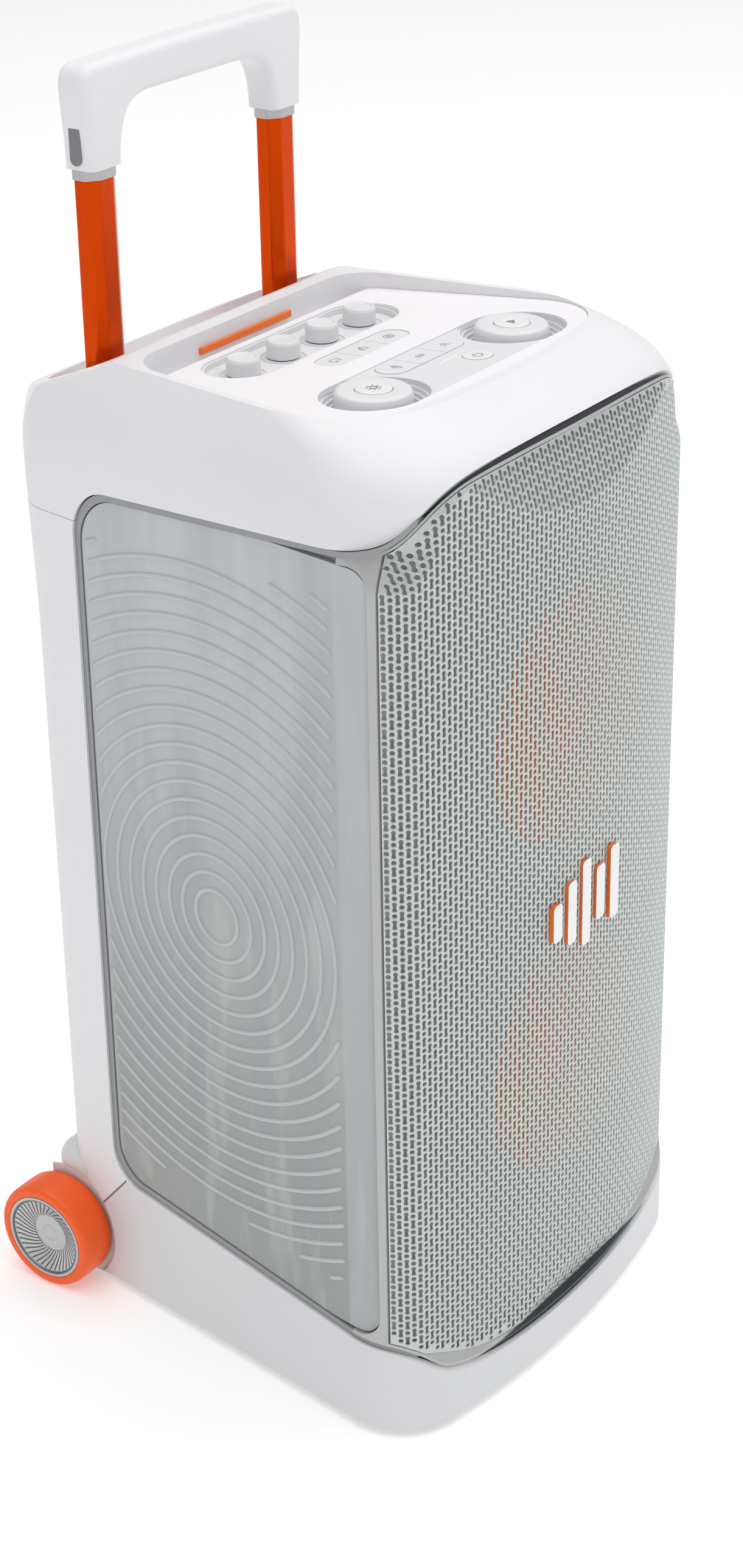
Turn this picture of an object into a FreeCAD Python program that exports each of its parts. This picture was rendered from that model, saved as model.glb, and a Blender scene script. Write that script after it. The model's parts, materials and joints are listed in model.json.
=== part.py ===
import FreeCAD, Part
import math
import os
from FreeCAD import Vector

os.makedirs("parts", exist_ok=True)

# Party speaker on two wheels with a telescopic trolley handle.
# Frame: +Z up, -Y front, X = 0 is the symmetry plane. Origin: floor level, centre of the footprint.
# All lengths in millimetres.

# ---- driving dimensions ---------------------------------------------------
HALF_WIDTH = 151.4        # body half width at SIDE_Y
SIDE_Y = -20.0            # where the half width is measured
TAPER = 8.5               # each side turns inwards towards the rear by this angle, degrees
FRONT_Y = -187.0          # front of the body on the centre line
REAR_Y = 157.0            # rear of the body
FRONT_BOW = 620.0         # radius of the bowed front in plan
FRONT_CORNER = 47.0       # plan radius of the front corners
REAR_CORNER = 38.0        # plan radius of the rear corners
WALL = 3.0                # moulded wall thickness

CAP_TOP = 671.5           # highest rim of the top cap
CAP_SEAM = 571.0          # seam between the cap and the rear shell
BASE_FLOOR = 3.0          # underside of the base, above the floor
PANEL_REAR_Y = 101.0      # rear edge of the side panel opening
PANEL_FRONT_Y = -139.5    # front edge of the side panels
FRAME_REAR_Y = -120.0     # the front frame reaches this far back over the panels' corners
STRIP_REAR_Y = -160.0     # the charcoal strips round the grille end here
TRIM_INSET = 2.0          # how far the side trims lie under the cap's surface
LIP_SIDE = (608.0, 595.0)      # cap lower edge over the side panel: at the front, at the rear
SILL_SIDE = (69.0, 92.0)       # base upper edge under the side panel: at the front, at the rear

KNOB_X = 74.0             # big knobs: half of their spacing
KNOB_Y = -84.0
KNOB_R = 23.5
MIC_PITCH = 40.2          # four small knobs in a row
MIC_Y = 21.0
MIC_X = [(i - 1.5) * MIC_PITCH for i in range(4)]
MIC_R = 10.5
BED_TOP = 655.0           # floor of the main knob recess
DECK_REAR = (52.0, 661.0)     # Y and Z of the sloping deck's rear edge
DECK_FRONT = (-125.0, 670.6)  # Y and Z of its front edge
DECK_T = 3.5              # deck thickness
GROOVE_FLOOR = 650.0      # floor of the tablet groove
MIC_FLOOR = 657.0         # floor of the small knobs' bed
MIC_BED = (172.0, 50.0)   # length and width of that bed
MAIN_BED = (216.0, 64.0)  # length and width of the big knobs' bed
MAIN_BED_Y = -85.0
BOWL_STEPS = 5            # rings that step down to each big knob
BOWL_R = 33.5

TUBE_X = 89.0             # handle tubes: half of their spacing
TUBE_Y = 104.6
TUBE_SIZE = (26.0, 19.0)  # width along X, depth along Y
TUBE_FLAT = 9.6           # width of the tubes' flat left and right faces
TUBE_BOTTOM = 330.0
SLEEVE_TOP = 595.8        # the guide sleeves end under the floor of the handle well
COLLAR_Z = 779.0          # where the tubes enter the handle grip
GRIP_TOP = 842.0
GRIP_DEPTH = 23.5

AXLE_Y = 148.5
WHEEL_R = 38.5
WHEEL_FACE_X = 158.0      # outer face of each wheel
TYRE_W = 29.0
AXLE_R = 5.0

WOOFER_Z = (457.0, 220.0)
WOOFER_R = 82.0
TWEETER = (72.0, 574.0)   # x and z of the right tweeter
BAFFLE_FACE = -165.0      # front face of the baffle
BAFFLE_T = 12.0

BADGE = (3.0, 330.0)      # centre of the badge on the grille, x and z
BADGE_BARS = (26.0, 44.0, 60.0, 38.0, 52.0)
BAR_PITCH = 17.0
BAR_WIDTH = 10.0

KEY_STRIP = (84.0, 22.0)  # length and width of a strip of three keys
EFFECT_Y = -24.0
LINK_Y = -66.0
POWER = (16.0, -97.0)     # power key, x and y
POWER_R = 9.6

FEET = [(118.0, -128.0), (104.0, 96.0)]   # x and y of the rubber feet on the right
ARCH_TOP = 95.0           # top of the squarer rear corners beside the wheels

DOOR = (-78.0, 78.0, 112.0, 216.0)        # battery door opening: x0, x1, z0, z1
DOOR_CORNER = 3.0
IO = (-64.0, 64.0, 268.0, 424.0)          # connector panel opening: x0, x1, z0, z1
PORT_X = 44.0             # bass ports
PORT_Z = 520.0
PORT_R = 24.0


# ---- small helpers -----------------------------------------------------------
def save(name, shape):
    """Write one sub-part; a list of solids becomes one group."""
    if isinstance(shape, (list, tuple)):
        shape = Part.makeCompound(list(shape))
    elif len(shape.Solids) == 1:
        shape = shape.Solids[0]
    shape.exportStep("parts/" + name + ".step")


def mirror_x(shape):
    return shape.mirror(Vector(0, 0, 0), Vector(1, 0, 0))


def both(shape):
    """The shape and its mirror image across X = 0."""
    return [shape, mirror_x(shape)]


def box(x0, x1, y0, y1, z0, z1):
    return Part.makeBox(x1 - x0, y1 - y0, z1 - z0, Vector(x0, y0, z0))


def cyl(r, h, at, axis=(0, 0, 1)):
    return Part.makeCylinder(r, h, Vector(*at), Vector(*axis))


def ring(r_out, r_in, h, at, axis=(0, 0, 1)):
    return cyl(r_out, h, at, axis).cut(cyl(r_in, h, at, axis))


def revolve(points, at, axis):
    """Turn an (r, h) outline about the axis through a point; h runs along the axis."""
    axis = Vector(*axis)
    side = Vector(0, 0, 1) if abs(axis.z) < 0.5 else Vector(1, 0, 0)
    place = [Vector(*at) + side * r + axis * h for r, h in points]
    face = Part.Face(Part.makePolygon(place + place[:1]))
    return face.revolve(Vector(*at), axis, 360)


def stadium(length, width, height, at):
    """A slab with round ends, long side along X, centred on a point at its underside."""
    x, y, z = at
    r = width / 2
    half = length / 2 - r
    slab = box(x - half, x + half, y - r, y + r, z, z + height)
    ends = [cyl(r, height, (x + s * half, y, z)) for s in (-1, 1)]
    return slab.fuse(ends).removeSplitter()


def rounded_box(x0, x1, y0, y1, z0, z1, r, axis):
    """A box whose four edges along one axis are rounded."""
    body = box(x0, x1, y0, y1, z0, z1)
    edges = [e for e in body.Edges if abs(e.tangentAt(e.FirstParameter).dot(Vector(*axis))) > 0.9]
    return body.makeFillet(r, edges)


def smooth(poles):
    """A curve that starts and ends on its first and last control points."""
    curve = Part.BSplineCurve()
    curve.buildFromPoles(poles, False, 3)
    return curve.toShape()


def profile_x(points, reach=400.0):
    """Extrude a closed outline in the YZ plane right through the body along X."""
    ring_pts = [Vector(-reach, y, z) for y, z in points]
    return Part.Face(Part.makePolygon(ring_pts + ring_pts[:1])).extrude(Vector(2 * reach, 0, 0))


# ---- plan outline of the body ------------------------------------------------
def side_x(y, inset=0.0):
    slope = math.radians(TAPER)
    return HALF_WIDTH - (y - SIDE_Y) * math.tan(slope) - inset / math.cos(slope)


def plan_face(z, inset=0.0, front=None, rear=None, r_front=None, r_rear=None):
    """The body's plan outline at one height: bowed front, tapering sides, round corners."""
    front = FRONT_Y + inset if front is None else front
    rear = REAR_Y - inset if rear is None else rear
    r_front = max(FRONT_CORNER - inset, 6.0) if r_front is None else r_front
    r_rear = max(REAR_CORNER - inset, 6.0) if r_rear is None else r_rear
    bow = FRONT_BOW - inset
    t = math.radians(TAPER)
    out = Vector(math.cos(t), math.sin(t), 0)          # outward normal of the +X side
    edge = Vector(side_x(0.0, inset), 0, 0)            # one point of that side
    # front corner: a circle tangent to the side line and, from inside, to the bow
    c0 = Vector(0, front + bow, 0)
    start = edge - out * r_front
    along = Vector(math.sin(t), -math.cos(t), 0)       # along the side, towards the front
    rel = start - c0
    b = rel.dot(along)
    s = -b + math.sqrt(b * b - rel.dot(rel) + (bow - r_front) ** 2)
    cf = start + along * s
    on_side = cf + out * r_front
    on_bow = c0 + (cf - c0).normalize() * bow
    mid_dir = (out + (cf - c0).normalize()).normalize()
    on_arc = cf + mid_dir * r_front
    # rear corner: tangent to the side line and to the rear line
    start = edge - out * r_rear
    back = (start.y - (rear - r_rear)) / along.y
    cr = start - along * back
    on_side_r = cr + out * r_rear
    on_rear = Vector(cr.x, rear, 0)
    mid_r = cr + (out + Vector(0, 1, 0)).normalize() * r_rear

    def up(v, s=1):
        return Vector(s * v.x, v.y, z)

    edges = [
        Part.Arc(up(on_bow, -1), Vector(0, front, z), up(on_bow)).toShape(),
        Part.Arc(up(on_bow), up(on_arc), up(on_side)).toShape(),
        Part.LineSegment(up(on_side), up(on_side_r)).toShape(),
        Part.Arc(up(on_side_r), up(mid_r), up(on_rear)).toShape(),
        Part.LineSegment(up(on_rear), up(on_rear, -1)).toShape(),
        Part.Arc(up(on_rear, -1), up(mid_r, -1), up(on_side_r, -1)).toShape(),
        Part.LineSegment(up(on_side_r, -1), up(on_side, -1)).toShape(),
        Part.Arc(up(on_side, -1), up(on_arc, -1), up(on_bow, -1)).toShape(),
    ]
    return Part.Wire(edges)


def prism(z0, z1, inset=0.0, **sizes):
    return Part.Face(plan_face(z0, inset, **sizes)).extrude(Vector(0, 0, z1 - z0))


def band(z0, z1, outer, inner):
    """A closed wall that follows the plan outline between two insets."""
    return prism(z0, z1, outer).cut(prism(z0, z1, inner))


# ---- outlines seen from the side ---------------------------------------------
# Each edge line runs from the front to the rear: an S-curve round the front corner, a straight
# stretch along the side, and a quarter circle into the upright rear edge of the panel opening.
CAP_CURVE = [(-187, 654), (-177, 653.5), (-169, 645), (-161, 630), (-150, 615), (-135, 610.5), (-118, 609)]
SILL_CURVE = [(-187, 35), (-179, 35), (-172, 43), (-164, 60), (-150, 68), (-135, 69.2), (-118, 71)]
CAP_ARC = 34.0
SILL_ARC = 27.0


def edge_line(curve, end_z, radius, shift, side):
    """One edge line in the YZ plane; side is +1 for the cap's edge and -1 for the base's."""
    pts = [Vector(0, y, z - side * shift) for y, z in curve]
    rear = PANEL_REAR_Y - shift
    top = Vector(0, rear - radius, end_z - side * shift)
    centre = top - Vector(0, 0, side * radius)
    s = math.sin(math.radians(45)) * radius
    quarter = Part.Arc(top, centre + Vector(0, s, side * s), centre + Vector(0, radius, 0))
    lead = Part.LineSegment(pts[0] + Vector(0, -60, 0), pts[0]).toShape()
    return [lead, smooth(pts), Part.LineSegment(pts[-1], top).toShape(), quarter.toShape()]


def through_x(edges, reach=400.0):
    """Extrude a closed run of YZ edges right through the body along X."""
    wire = Part.Wire(Part.__sortEdges__(edges))
    wire.translate(Vector(-reach, 0, 0))
    return Part.Face(wire).extrude(Vector(2 * reach, 0, 0))


def window(shift=0.0):
    """What lies between the cap's edge and the base's edge, in front of the rear shell."""
    upper = edge_line(CAP_CURVE, LIP_SIDE[1], CAP_ARC, shift, 1)
    lower = edge_line(SILL_CURVE, SILL_SIDE[1], SILL_ARC, shift, -1)
    ends = [Part.LineSegment(upper[-1].lastVertex().Point, lower[-1].lastVertex().Point).toShape(),
            Part.LineSegment(upper[0].firstVertex().Point, lower[0].firstVertex().Point).toShape()]
    return through_x(upper + lower + ends)


def below_diagonal():
    """The space under the slanting seam between the base and the rear shell."""
    seam = [(-300, 94), (90, 94), (118, 62), (135, 52), (300, 52), (300, -50), (-300, -50)]
    return profile_x(seam)


# ---- top cap -----------------------------------------------------------------
SHOULDER_Z = 606.0        # the walls are upright below this and curve inwards above it
SHOULDER_IN = (19.0, 50.0, 6.0)    # how far the rim is set in: sides, front, rear
SHOULDER_POWER = (1.9, 4.4, 2.0)   # how late each of them curves in
BACK_SLOPE = ((76.0, 671.5), (155.0, 640.0))   # Y and Z of the top's slope down to the rear
BACK_ROUND = 5.0         # edge radius round that slope
REAR_FLARE = 4.0          # the rear stands out this much more at the shoulder
FLARE_Z = 480.0           # height where the rear starts to stand out
CORNER_Z = (585.0, 613.0)  # the front corners grow rounder between these heights
CORNER_GROWTH = 18.0


def ease(z, z0, z1):
    """0 below z0, 1 above z1, a smooth step in between."""
    t = min(max((z - z0) / (z1 - z0), 0.0), 1.0)
    return t * t * (3 - 2 * t)


def body_section(z, shrink=0.0, lower=0.0):
    """The body's outline at a height, with the shoulder's curve and the rear flare."""
    t = max((z - SHOULDER_Z) / (CAP_TOP - SHOULDER_Z), 0.0)
    side, front, rear = [d * t ** p for d, p in zip(SHOULDER_IN, SHOULDER_POWER)]
    flare = REAR_FLARE * ease(z, FLARE_Z, SHOULDER_Z)
    corner = FRONT_CORNER + CORNER_GROWTH * ease(z, *CORNER_Z)
    return plan_face(z - lower, side + shrink, FRONT_Y + front + shrink, REAR_Y + flare - rear - shrink,
                     corner + 0.4 * side - shrink, REAR_CORNER + 0.6 * side - shrink)


def stack(z0, z1, shrink=0.0, lower=0.0, rings=5):
    """The body's volume between two heights, lofted through its outlines."""
    step = (z1 - z0) / (rings - 1)
    return Part.makeLoft([body_section(z0 + step * i, shrink, lower) for i in range(rings)], True, False)


def above_back_slope(lower=0.0):
    """The space over the top's slope down to the rear."""
    (y0, z0), (y1, z1) = BACK_SLOPE
    fall = (z1 - z0) / (y1 - y0)
    return profile_x([(y0, z0 - lower), (230, z0 + fall * (230 - y0) - lower), (230, 760), (y0, 760)])


def shoulder(shrink=0.0, lower=0.0):
    """The cap's outer volume; shrink moves its walls in and lower moves its top down."""
    top = stack(CORNER_Z[0], CAP_TOP, shrink, lower, 19).cut(above_back_slope(lower))
    return top.fuse(stack(CAP_SEAM - 20, CORNER_Z[0] - lower, shrink))


def rounded_shoulder():
    """The cap's outer volume with a soft edge round its rear slope."""
    body = shoulder().removeSplitter()
    slope_y = BACK_SLOPE[0][0]
    rim = [e for e in body.Edges if e.BoundBox.YMin > slope_y - 2 and e.BoundBox.ZMin > CORNER_Z[1]
           and e.BoundBox.YLength > 2]
    return body.makeFillet(BACK_ROUND, rim)


def front_skin(inset):
    """The front of the body from the floor to the cap, all its walls moved in."""
    upper = stack(CORNER_Z[0], CAP_TOP - 6, inset, 0.0, 17)
    return upper.fuse(prism(20, CORNER_Z[0], inset))


def deck_outline(z, inset):
    """Inner edge of the cap's raised rim, in plan."""
    return plan_face(z, 24.0 + inset, -129.0 + inset, 66.0 - inset, 46.0 - inset, 30.0 - inset)


def deck_well(z0, z1, inset=0.0):
    return Part.Face(deck_outline(z0, inset)).extrude(Vector(0, 0, z1 - z0))


def handle_well(z0, z1, shrink=0.0):
    """The opening behind the deck that the handle comes out of."""
    pts = [(-117 + shrink, 110), (-118 + shrink, 139 - shrink), (-78, 148 - shrink),
           (78, 148 - shrink), (118 - shrink, 139 - shrink), (117 - shrink, 110)]
    front_y = 86.0 + shrink
    left = Vector(pts[0][0], 110, z0)
    right = Vector(pts[-1][0], 110, z0)
    a = Vector(left.x + 18, front_y, z0)
    b = Vector(right.x - 18, front_y, z0)
    corner_l = Part.Arc(left, Vector(left.x + 3, 94 + shrink, z0), a).toShape()
    corner_r = Part.Arc(b, Vector(right.x - 3, 94 + shrink, z0), right).toShape()
    back = smooth([Vector(x, y, z0) for x, y in pts])
    wire = Part.Wire([back, corner_r, Part.LineSegment(b, a).toShape(), corner_l])
    return Part.Face(wire).extrude(Vector(0, 0, z1 - z0))


def grab_recess(grow=0.0):
    """The hand hollow under the cap's rear rim."""
    return rounded_box(-70 - grow, 70 + grow, 132 - grow, 190, 575 - grow, 592.5 + grow, 8, (0, 1, 0))


def deck_ledge():
    """A narrow ledge inside the rim that the control deck rests on."""
    rim = deck_well(640, CAP_TOP, -0.5).cut(deck_well(640, CAP_TOP, 3.0))
    slope = rim.common(deck_layer(DECK_T, 2.0)).cut(box(-300, 300, DECK_REAR[0] - 2.5, 300, 600, 700))
    groove = rim.common(box(-300, 300, DECK_REAR[0] - 2.5, 300, GROOVE_FLOOR - 5, GROOVE_FLOOR - 3))
    return slope.fuse(groove)


def make_top_cap():
    hollow = shoulder(WALL, WALL)
    body = rounded_shoulder()
    cap = body.cut(hollow)
    lining = deck_well(640, CAP_TOP + 5, -WALL).fuse(handle_well(596, 700, -WALL))
    lining = lining.fuse(grab_recess(WALL))
    cap = cap.fuse(lining.common(shoulder(0.5, 0.5)))
    cap = cap.cut([window(), deck_well(640, CAP_TOP + 5), handle_well(599, 700), grab_recess()])
    cap = cap.cut(box(-400, 400, -400, 400, 500, CAP_SEAM))
    sleeves = [tube_prism(s, 590, 610, 1.2) for s in (-1, 1)]
    return cap.cut(sleeves).fuse(deck_ledge())


# ---- handle ------------------------------------------------------------------
def tube_prism(side, z0, z1, grow=0.0):
    """The faceted oval section of a handle tube."""
    w = TUBE_SIZE[0] / 2 + grow
    d = TUBE_SIZE[1] / 2 + grow
    flat = TUBE_FLAT / 2
    x = side * TUBE_X
    pts = [(-w, -flat), (-w * 0.45, -d), (w * 0.45, -d), (w, -flat),
           (w, flat), (w * 0.45, d), (-w * 0.45, d), (-w, flat)]
    wire = Part.makePolygon([Vector(x + px, TUBE_Y + py, z0) for px, py in pts + pts[:1]])
    body = Part.Face(wire).extrude(Vector(0, 0, z1 - z0))
    upright = [e for e in body.Edges if abs(e.tangentAt(e.FirstParameter).z) > 0.9]
    return body.makeFillet(3.0, upright)


def make_handle_tubes():
    tubes = []
    for side in (-1, 1):
        outer = tube_prism(side, TUBE_BOTTOM, COLLAR_Z + 20)
        tubes.append(outer.cut(tube_prism(side, TUBE_BOTTOM - 1, COLLAR_Z + 21, -1.6)))
    return tubes


def make_handle_sleeves():
    """Guide sleeves fixed in the cabinet, open at the top."""
    sleeves = []
    for side in (-1, 1):
        outer = tube_prism(side, 118, SLEEVE_TOP, 3.4)
        bore = tube_prism(side, 121, 600, 1.2)
        mouth = tube_prism(side, SLEEVE_TOP - 12, 600, 0.35)
        liner = tube_prism(side, SLEEVE_TOP - 12, SLEEVE_TOP, 3.0).cut(mouth)
        sleeves.append(outer.cut(bore).fuse(liner))
    return sleeves


def make_handle_grip():
    """A bar with two flared legs, rounded all over and open in the middle."""
    outer = [(-103.8, COLLAR_Z), (-103.8, 795), (-107, 820), (-107.4, 838), (-97, GRIP_TOP - 1.2)]
    inner = [(-74.2, COLLAR_Z), (-74, 790), (-71, 804), (-62, 815), (-46, 816)]
    left = [Vector(x, 0, z) for x, z in outer]
    hand = [Vector(x, 0, z) for x, z in inner]
    top = Part.Arc(left[-1], Vector(0, 0, GRIP_TOP), Vector(97, 0, GRIP_TOP - 1.2)).toShape()
    edges = [top, Part.LineSegment(hand[-1], Vector(46, 0, 816)).toShape()]
    for s in (-1, 1):
        out_curve = smooth([Vector(-s * v.x, 0, v.z) for v in left])
        in_curve = smooth([Vector(-s * v.x, 0, v.z) for v in hand])
        foot = Part.LineSegment(Vector(-s * left[0].x, 0, COLLAR_Z), Vector(-s * hand[0].x, 0, COLLAR_Z))
        edges += [out_curve, in_curve, foot.toShape()]
    wire = Part.Wire(Part.__sortEdges__(edges))
    wire.translate(Vector(0, TUBE_Y - GRIP_DEPTH / 2, 0))
    body = Part.Face(wire).extrude(Vector(0, GRIP_DEPTH, 0))
    rims = [e for e in body.Edges if abs(abs(e.CenterOfMass.y - TUBE_Y) - GRIP_DEPTH / 2) < 0.01
            and e.BoundBox.ZMax > COLLAR_Z + 1]
    body = body.makeFillet(6.0, rims)
    sockets = [tube_prism(s, COLLAR_Z - 1, COLLAR_Z + 20.2, 0.0) for s in (-1, 1)]
    return body.cut(sockets + make_grip_inlays())


def make_handle_collars():
    """Silver rings where the tubes enter the grip."""
    rings = []
    for side in (-1, 1):
        outer = tube_prism(side, COLLAR_Z - 6, COLLAR_Z - 0.2, 1.6)
        rings.append(outer.cut(tube_prism(side, COLLAR_Z - 7, COLLAR_Z, 0.0)))
    return rings


def make_grip_inlays():
    """Grey tongues let into the outer sides of the grip's legs."""
    inlays = []
    for side in (-1, 1):
        x0, x1 = sorted((side * 102.6, side * 105.0))
        inlays.append(rounded_box(x0, x1, TUBE_Y - 4.2, TUBE_Y + 4.2, COLLAR_Z + 3, COLLAR_Z + 33, 4, (1, 0, 0)))
    return inlays


# ---- rear shell, base and inner cabinet ----------------------------------------
SCREW_SPOTS = [(s * x, z) for s in (-1, 1) for x, z in ((88, 235), (84, 345), (84, 455), (84, 555))]


def rear_hole(opening, grow=0.0, r=8.0, y0=140.0):
    x0, x1, z0, z1 = opening
    return rounded_box(x0 - grow, x1 + grow, y0, 190, z0 - grow, z1 + grow, r + grow, (0, 1, 0))


def make_rear_shell():
    z0, z1 = 50.0, CAP_SEAM - 0.4
    shell = stack(z0, FLARE_Z).fuse(stack(FLARE_Z, z1))
    shell = shell.cut(stack(z0 - 1, FLARE_Z, WALL).fuse(stack(FLARE_Z, z1 + 1, WALL)))
    keep = box(-300, 300, 60, 300, z0, z1)
    shell = shell.common(keep)
    shell = shell.cut([window(), below_diagonal(), arch_block(0.4), wheel_pocket(43.0)])
    shell = shell.cut([rear_hole(DOOR, 0, DOOR_CORNER), rear_hole(IO), grab_recess(WALL + 0.4)])
    ports = [cyl(PORT_R + 4.2, 60, (s * PORT_X, 130, PORT_Z), (0, 1, 0)) for s in (-1, 1)]
    screws = [cyl(3.6, 60, (x, 130, z), (0, 1, 0)) for x, z in SCREW_SPOTS]
    return shell.cut(ports + screws)


def arch_block(grow=0.0):
    """The squarer rear corners of the base, beside the wheels."""
    g = grow
    body = rounded_box(-128 - g, 128 + g, 96, 163 + g, BASE_FLOOR - g, ARCH_TOP + g, 16, (0, 0, 1))
    rim = [e for e in body.Edges if abs(e.CenterOfMass.z - (ARCH_TOP + g)) < 0.01 and e.CenterOfMass.y > 97]
    return body.makeFillet(12.0, rim)


def wheel_pocket(r):
    pocket = cyl(r, 60, (126.5, AXLE_Y, WHEEL_R), (1, 0, 0))
    return pocket.fuse(mirror_x(pocket))


def make_base_shell():
    """A tray with a bevelled lip, squared off at the rear corners and cut away for the wheels."""
    z0 = BASE_FLOOR
    body = prism(z0 + 4, 130).fuse(Part.makeLoft([plan_face(z0, 4.0), plan_face(z0 + 4, 0.0)], True, True))
    body = body.common(below_diagonal()).cut(window())
    body = body.fuse(arch_block().common(box(-300, 300, 100, 300, z0, ARCH_TOP)))
    hollow = prism(z0 + WALL, 140, WALL).common(box(-300, 300, -300, 150, 0, 200))
    hollow = hollow.fuse(rounded_box(-120, 120, 120, 159, z0 + WALL, ARCH_TOP - WALL, 10, (0, 0, 1)))
    body = body.cut([hollow, wheel_pocket(43.0)])
    boss = cyl(13, 30, (96.5, AXLE_Y, WHEEL_R), (1, 0, 0))
    bosses = [b.common(box(-126.5, 126.5, 100, 162, z0, 80)) for b in both(boss)]
    body = body.fuse(bosses)
    bores = both(cyl(AXLE_R, 60, (94, AXLE_Y, WHEEL_R), (1, 0, 0)))
    feet = [cyl(4.0, 10, (s * x, y, 0)) for s in (-1, 1) for x, y in FEET]
    return body.cut(bores + feet)


def make_feet():
    feet = []
    for side in (-1, 1):
        for x, y in FEET:
            pad = Part.makeCone(13.0, 15.0, BASE_FLOOR, Vector(side * x, y, 0))
            stem = cyl(3.8, WALL, (side * x, y, BASE_FLOOR))
            feet.append(pad.fuse(stem))
    return feet


CABINET = (17.0, BAFFLE_FACE, 80.0)       # inset of the sides, front Y, rear Y
CABINET_CORNER = 46.0                     # radius of the box's corners seen from the front
CABINET_Z = (16.0, 624.0)


def cabinet_volume(grow=0.0):
    inset, front, rear = CABINET
    z0, z1 = CABINET_Z
    block = prism(z0 - grow, z1 + grow, inset - grow, front=front - grow, rear=rear + grow,
                  r_front=30 + grow, r_rear=14 + grow)
    return block.common(front_shape(z0 - grow, z1 + grow, CABINET_CORNER + grow))


def front_shape(z0, z1, corner):
    """A round-cornered outline seen from the front, pushed right through the body."""
    return rounded_box(-160, 160, -300, 300, z0, z1, corner, (0, 1, 0))


def make_cabinet_box():
    """The sealed box behind the baffle, open at the front."""
    cabinet = cabinet_volume().cut(cabinet_volume(-5.0))
    cabinet = cabinet.cut(box(-300, 300, -300, BAFFLE_FACE + BAFFLE_T, 0, 700))
    ports = [cyl(PORT_R + 3.0, 60, (s * PORT_X, 60, PORT_Z), (0, 1, 0)) for s in (-1, 1)]
    return cabinet.cut(ports)


def make_front_baffle():
    plate = prism(22, 618, 21.0, front=-177.0, rear=-100.0, r_front=30.0, r_rear=6.0)
    plate = plate.common(front_shape(22, 618, 60.0))
    plate = plate.common(box(-300, 300, BAFFLE_FACE, BAFFLE_FACE + BAFFLE_T, 0, 700))
    holes = [cyl(WOOFER_R - 7, 60, (0, -190, z), (0, 1, 0)) for z in WOOFER_Z]
    holes += [cyl(20, 60, (s * TWEETER[0], -190, TWEETER[1]), (0, 1, 0)) for s in (-1, 1)]
    return plate.cut(holes)


# ---- loudspeakers ---------------------------------------------------------------
def facing_front(points, x, z):
    """Turn an (r, depth) outline about a line along Y; depth 0 is the baffle's front face."""
    pts = [Vector(x + r, BAFFLE_FACE + d, z) for r, d in points]
    face = Part.Face(Part.makePolygon(pts + pts[:1]))
    return face.revolve(Vector(x, 0, z), Vector(0, 1, 0), 360)


CONE = [(0, 24), (18, 24), (22, 30), (58, 1.5), (60, 2.6), (22, 32), (0, 32)]
SURROUND = [(60.3, 0.4), (64, -4), (70, -4), (73.5, 0), (73.5, 1.4), (69.5, -2.4), (64.5, -2.4), (60.3, 1.8)]
BASKET = [(74, 2.2), (71.6, 2.2), (70, 12.5), (46, 62), (34, 62), (34, 66), (48, 66), (71.8, 14), (71.8, 12.2)]
MAGNET = [(0, 66.3), (46, 66.3), (46, 88), (0, 88)]
TRIM = [(73.8, -0.2), (73.8, -3.4), (76, -5), (81, -4), (82, -0.2)]
DOME = [(0, -2.4), (6, -1.8), (10.5, 1.2), (12.5, 3.4), (12.5, 20), (0, 20)]
GUIDE = [(13, 1), (20, -3), (28, -4.5), (34, -4.5), (35, -0.2), (19.6, -0.2), (19.6, 10), (13, 10)]


def woofer_set(points):
    return [facing_front(points, 0, z) for z in WOOFER_Z]


def tweeter_set(points):
    return [facing_front(points, s * TWEETER[0], TWEETER[1]) for s in (-1, 1)]


def make_bass_ports():
    """Flared tubes from the cabinet to the rear face."""
    ports = []
    for side in (-1, 1):
        outline = [(PORT_R, 40), (PORT_R + 3, 40), (PORT_R + 3, 142), (PORT_R + 4, 156), (PORT_R + 4, 157.4),
                   (PORT_R + 2, 157.4), (PORT_R, 148)]
        pts = [Vector(side * PORT_X + r, y, PORT_Z) for r, y in outline]
        face = Part.Face(Part.makePolygon(pts + pts[:1]))
        ports.append(face.revolve(Vector(side * PORT_X, 0, PORT_Z), Vector(0, 1, 0), 360))
    return ports


# ---- front: frame, grille, trims and badge ----------------------------------------
GRILLE_SIDE = (164.0, -146.0)
GRILLE_FOLD = (153.5, -161.8)
GRILLE_FRONT = -185.0
GRILLE_ROUND = 7.0        # edge radius of the folds


def grille_volume(inset=0.0):
    """The faceted block whose skin is the grille: bowed face, folded sides, sloping top."""
    (sx, sy), (fx, fy) = GRILLE_SIDE, GRILLE_FOLD
    a, b = Vector(sx - inset, sy, 0), Vector(fx - inset, fy + inset * 0.6, 0)
    centre = Vector(0, GRILLE_FRONT + inset, 0)

    def flip(v):
        return Vector(-v.x, v.y, v.z)

    edges = [Part.Arc(flip(b), centre, b).toShape(), Part.LineSegment(b, a).toShape(),
             Part.LineSegment(a, flip(a)).toShape(), Part.LineSegment(flip(a), flip(b)).toShape()]
    body = Part.Face(Part.Wire(edges)).extrude(Vector(0, 0, 680))
    front = GRILLE_FRONT + inset
    slope = [(-260, 600), (front, 600 - inset * 0.3), (front + 22, 674), (-260, 700)]
    toe = [(-260, 62), (front, 62 + inset * 0.3), (front + 8, 20), (-260, 10)]
    body = body.cut([profile_x(slope), profile_x(toe)])
    folds = [e for e in body.Edges if abs(e.tangentAt(e.FirstParameter).z) > 0.98
             and abs(abs(e.CenterOfMass.x) - fx + inset) < 1.0]
    return body.makeFillet(GRILLE_ROUND, folds)


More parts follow.
